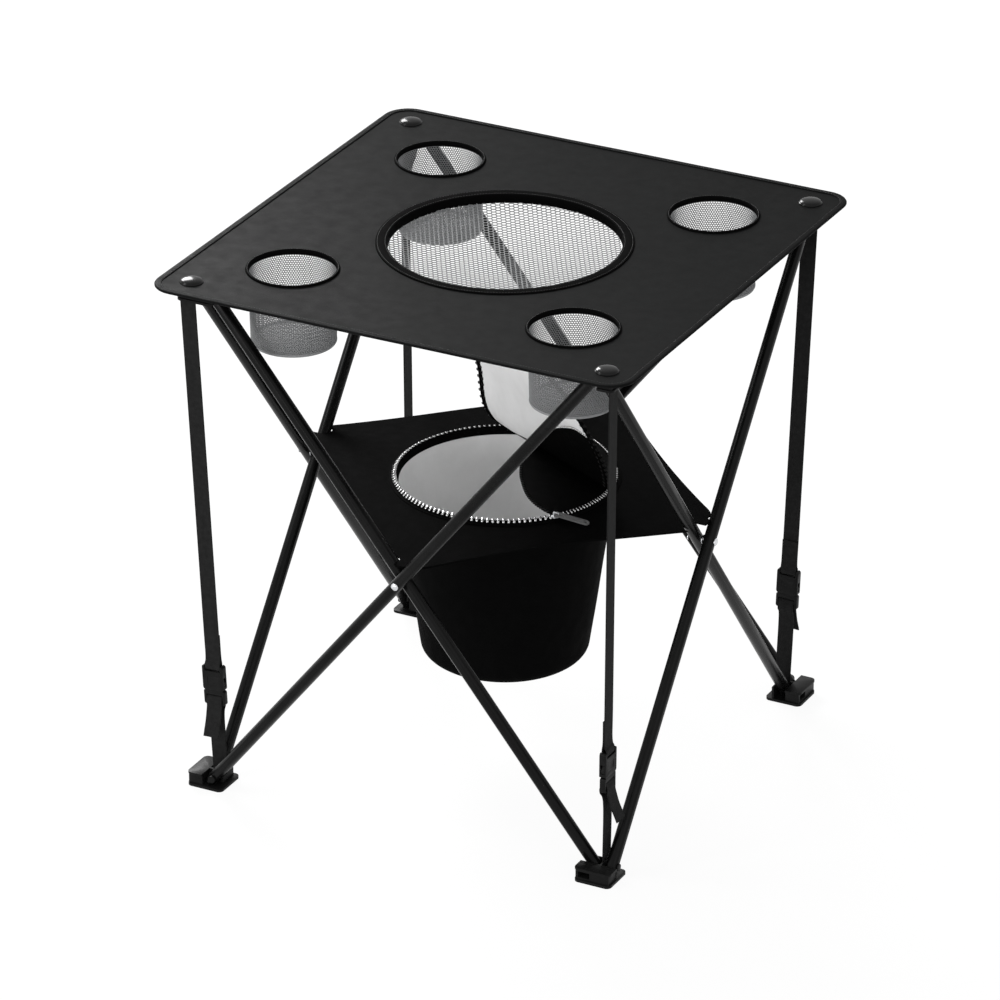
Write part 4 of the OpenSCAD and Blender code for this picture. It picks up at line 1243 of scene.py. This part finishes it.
def build_stage():
    scene = bpy.context.scene
    scene.view_settings.view_transform = "Standard"
    data = bpy.data.cameras.new("camera")
    data.lens, data.sensor_width, data.clip_end = CAMERA_LENS, 36.0, 100.0
    camera = new_object("camera", data)
    camera.matrix_world = (Matrix.Translation(CAMERA_AT) @ turned(CAMERA_ROUND, "Z")
                           @ turned(90 - CAMERA_DOWN, "X") @ turned(CAMERA_ROLL, "Z"))
    scene.camera = camera

    world = bpy.data.worlds.new("studio")
    scene.world = world
    world.use_nodes = True
    tree = world.node_tree
    path = add(tree, "ShaderNodeLightPath")
    straight = calc(tree, "MAXIMUM", path.outputs["Is Camera Ray"], path.outputs["Is Transmission Ray"])
    seen = calc(tree, "MAXIMUM", straight, path.outputs["Is Glossy Ray"])
    room = tree.nodes["Background"]
    room.inputs["Strength"].default_value = 0.8
    white = add(tree, "ShaderNodeBackground", {"Color": (1, 1, 1, 1), "Strength": 1.0})
    mix = add(tree, "ShaderNodeMixShader", {0: seen, 1: room.outputs[0], 2: white.outputs[0]})
    tree.links.new(mix.outputs[0], tree.nodes["World Output"].inputs[0])
    room.inputs["Color"].default_value = (1, 1, 1, 1)

    floor = new_object("floor", bpy.data.meshes.new("floor"))
    r = 14.0
    floor.data.from_pydata([(-r, -r, 0), (r, -r, 0), (r, r, 0), (-r, r, 0)], [], [(0, 1, 2, 3)])
    mat = bpy.data.materials.new("pale floor")
    mat.use_nodes = True
    tree = mat.node_tree
    tree.nodes.remove(tree.nodes["Principled BSDF"])
    path = add(tree, "ShaderNodeLightPath")
    lit = add(tree, "ShaderNodeBsdfDiffuse", {"Color": (0.95, 0.95, 0.95, 1)})
    glow = add(tree, "ShaderNodeEmission", {"Color": (1, 1, 1, 1), "Strength": 1.0})
    pale = add(tree, "ShaderNodeMixShader", {0: 0.92, 1: lit.outputs[0], 2: glow.outputs[0]})
    direct = calc(tree, "MAXIMUM", path.outputs["Is Camera Ray"], path.outputs["Is Glossy Ray"])
    seen = add(tree, "ShaderNodeMixShader", {0: direct, 1: lit.outputs[0], 2: pale.outputs[0]})
    tree.links.new(seen.outputs[0], tree.nodes["Material Output"].inputs[0])
    floor.data.materials.append(mat)

    middle = (0, 0, 0.35)
    area_light("key light", (-2.4, -1.4, 3.0), middle, (1.1, 1.1), 34)
    area_light("fill light", (3.2, -3.0, 2.2), middle, (2.0, 2.6), 8)
    area_light("low light", (-1.1, -3.4, 0.75), middle, (2.2, 1.0), 32)
    area_light("back light", (-2.1, 1.7, 1.9), (-0.2, -0.1, 0.6), (1.3, 1.0), 100)


# The add-on

def length_setting(name, text, value, low, high):
    return bpy.props.FloatProperty(name=name, description=text, default=value, min=low, max=high,
                                   unit="LENGTH")


def colour_setting(name, what, value):
    return bpy.props.FloatVectorProperty(name=name, description="Colour of " + what, default=value,
                                         min=0, max=1, subtype="COLOR")


def grey(level):
    return level, level, level


class CampingTableSettings(bpy.types.PropertyGroup):
    """Sizes and colours of the dressed table"""
    net_pitch: length_setting("Net pitch", "Distance between two gaps of the middle net", 0.0058, 0.003, 0.02)
    net_strand: length_setting("Net strand", "Thickness of a strand of the middle net", 0.0012, 0.0004, 0.003)
    net_sag: length_setting("Net sag", "How far the middle net hangs down", 0.010, 0.0, 0.03)
    cup_cells: bpy.props.IntProperty(name="Cup gaps", description="Gaps once round a cup's net", default=110,
                                     min=30, max=130)
    cup_strand: length_setting("Cup strand", "Thickness of a strand of a cup's net", 0.00105, 0.0004, 0.002)
    top_colour: colour_setting("Top", "the cloth top", (0.0055, 0.0057, 0.0057))
    shelf_colour: colour_setting("Shelf", "the shelf's cloth", grey(0.0024))
    cooler_colour: colour_setting("Cooler", "the cooler's cloth", grey(0.0016))
    binding_colour: colour_setting("Binding", "the binding tape", grey(0.0025))
    net_colour: colour_setting("Net", "the nets' thread", (0.22, 0.224, 0.228))
    sewing_colour: colour_setting("Sewing thread", "the stitches", grey(0.012))
    webbing_colour: colour_setting("Webbing", "the straps", grey(0.010))
    paint_colour: colour_setting("Tubes", "the tubes' paint", grey(0.003))
    plastic_colour: colour_setting("Plastic", "the moulded parts", grey(0.006))
    pull_colour: colour_setting("Pull", "the slider's pull", grey(0.13))
    metal_colour: colour_setting("Metal", "rivets and slider", (0.72, 0.73, 0.75))
    teeth_colour: colour_setting("Zip teeth", "the rim's teeth", grey(0.62))
    liner_colour: colour_setting("Liner", "the cooler's lining", grey(0.82))


class CAMPING_OT_stage(bpy.types.Operator):
    """Camera, lights and floor"""
    bl_idname = "camping.stage"
    bl_label = "Stage"

    def execute(self, context):
        build_stage()
        return {"FINISHED"}


class CAMPING_OT_top(bpy.types.Operator):
    """Cloth top in two halves with hem and net ring"""
    bl_idname = "camping.top"
    bl_label = "Top cloth"

    def execute(self, context):
        build_top()
        return {"FINISHED"}


class CAMPING_OT_net(bpy.types.Operator):
    """Net of six-sided cells in the middle ring"""
    bl_idname = "camping.net"
    bl_label = "Middle net"

    def execute(self, context):
        build_net()
        return {"FINISHED"}


class CAMPING_OT_cups(bpy.types.Operator):
    """Four mesh cups with their rings"""
    bl_idname = "camping.cups"
    bl_label = "Cup holders"

    def execute(self, context):
        build_cups()
        return {"FINISHED"}


class CAMPING_OT_caps(bpy.types.Operator):
    """Domed caps over the corners"""
    bl_idname = "camping.caps"
    bl_label = "Corner caps"

    def execute(self, context):
        build_caps()
        return {"FINISHED"}


class CAMPING_OT_frame(bpy.types.Operator):
    """Tubes, rivets, feet and top brackets"""
    bl_idname = "camping.frame"
    bl_label = "Frame"

    def execute(self, context):
        build_frame()
        return {"FINISHED"}


class CAMPING_OT_straps(bpy.types.Operator):
    """Webbing and side-release buckles"""
    bl_idname = "camping.straps"
    bl_label = "Straps"

    def execute(self, context):
        build_straps()
        return {"FINISHED"}


class CAMPING_OT_shelf(bpy.types.Operator):
    """Cloth shelf with its loops"""
    bl_idname = "camping.shelf"
    bl_label = "Shelf"

    def execute(self, context):
        build_shelf()
        return {"FINISHED"}


class CAMPING_OT_cooler(bpy.types.Operator):
    """Cooler bag and its lining"""
    bl_idname = "camping.cooler"
    bl_label = "Cooler"

    def execute(self, context):
        build_cooler()
        return {"FINISHED"}


class CAMPING_OT_zip(bpy.types.Operator):
    """Rim tape, teeth, slider and pull"""
    bl_idname = "camping.zip"
    bl_label = "Zip"

    def execute(self, context):
        build_zip()
        return {"FINISHED"}


class CAMPING_OT_lid(bpy.types.Operator):
    """The open lid and its sewn part"""
    bl_idname = "camping.lid"
    bl_label = "Lid"

    def execute(self, context):
        build_lid()
        return {"FINISHED"}


STEPS = (CAMPING_OT_stage, CAMPING_OT_top, CAMPING_OT_net, CAMPING_OT_cups, CAMPING_OT_caps,
         CAMPING_OT_frame, CAMPING_OT_straps, CAMPING_OT_shelf, CAMPING_OT_cooler, CAMPING_OT_zip,
         CAMPING_OT_lid)


class CAMPING_PT_panel(bpy.types.Panel):
    """Lists the table's steps and settings"""
    bl_label = "Camping table"
    bl_idname = "CAMPING_PT_panel"
    bl_space_type = "VIEW_3D"
    bl_region_type = "UI"
    bl_category = "Camping table"

    def draw(self, context):
        for key in CampingTableSettings.__annotations__:
            self.layout.prop(context.scene.camping_table, key)
        for step in STEPS:
            self.layout.operator(step.bl_idname)


CLASSES = (CampingTableSettings, *STEPS, CAMPING_PT_panel)


def register():
    for cls in CLASSES:
        bpy.utils.register_class(cls)
    bpy.types.Scene.camping_table = bpy.props.PointerProperty(type=CampingTableSettings)


def unregister():
    del bpy.types.Scene.camping_table
    for cls in reversed(CLASSES):
        bpy.utils.unregister_class(cls)


def main():
    register()
    for step in STEPS:
        getattr(bpy.ops.camping, step.bl_idname.split(".")[1])()


if __name__ == "__main__":
    main()
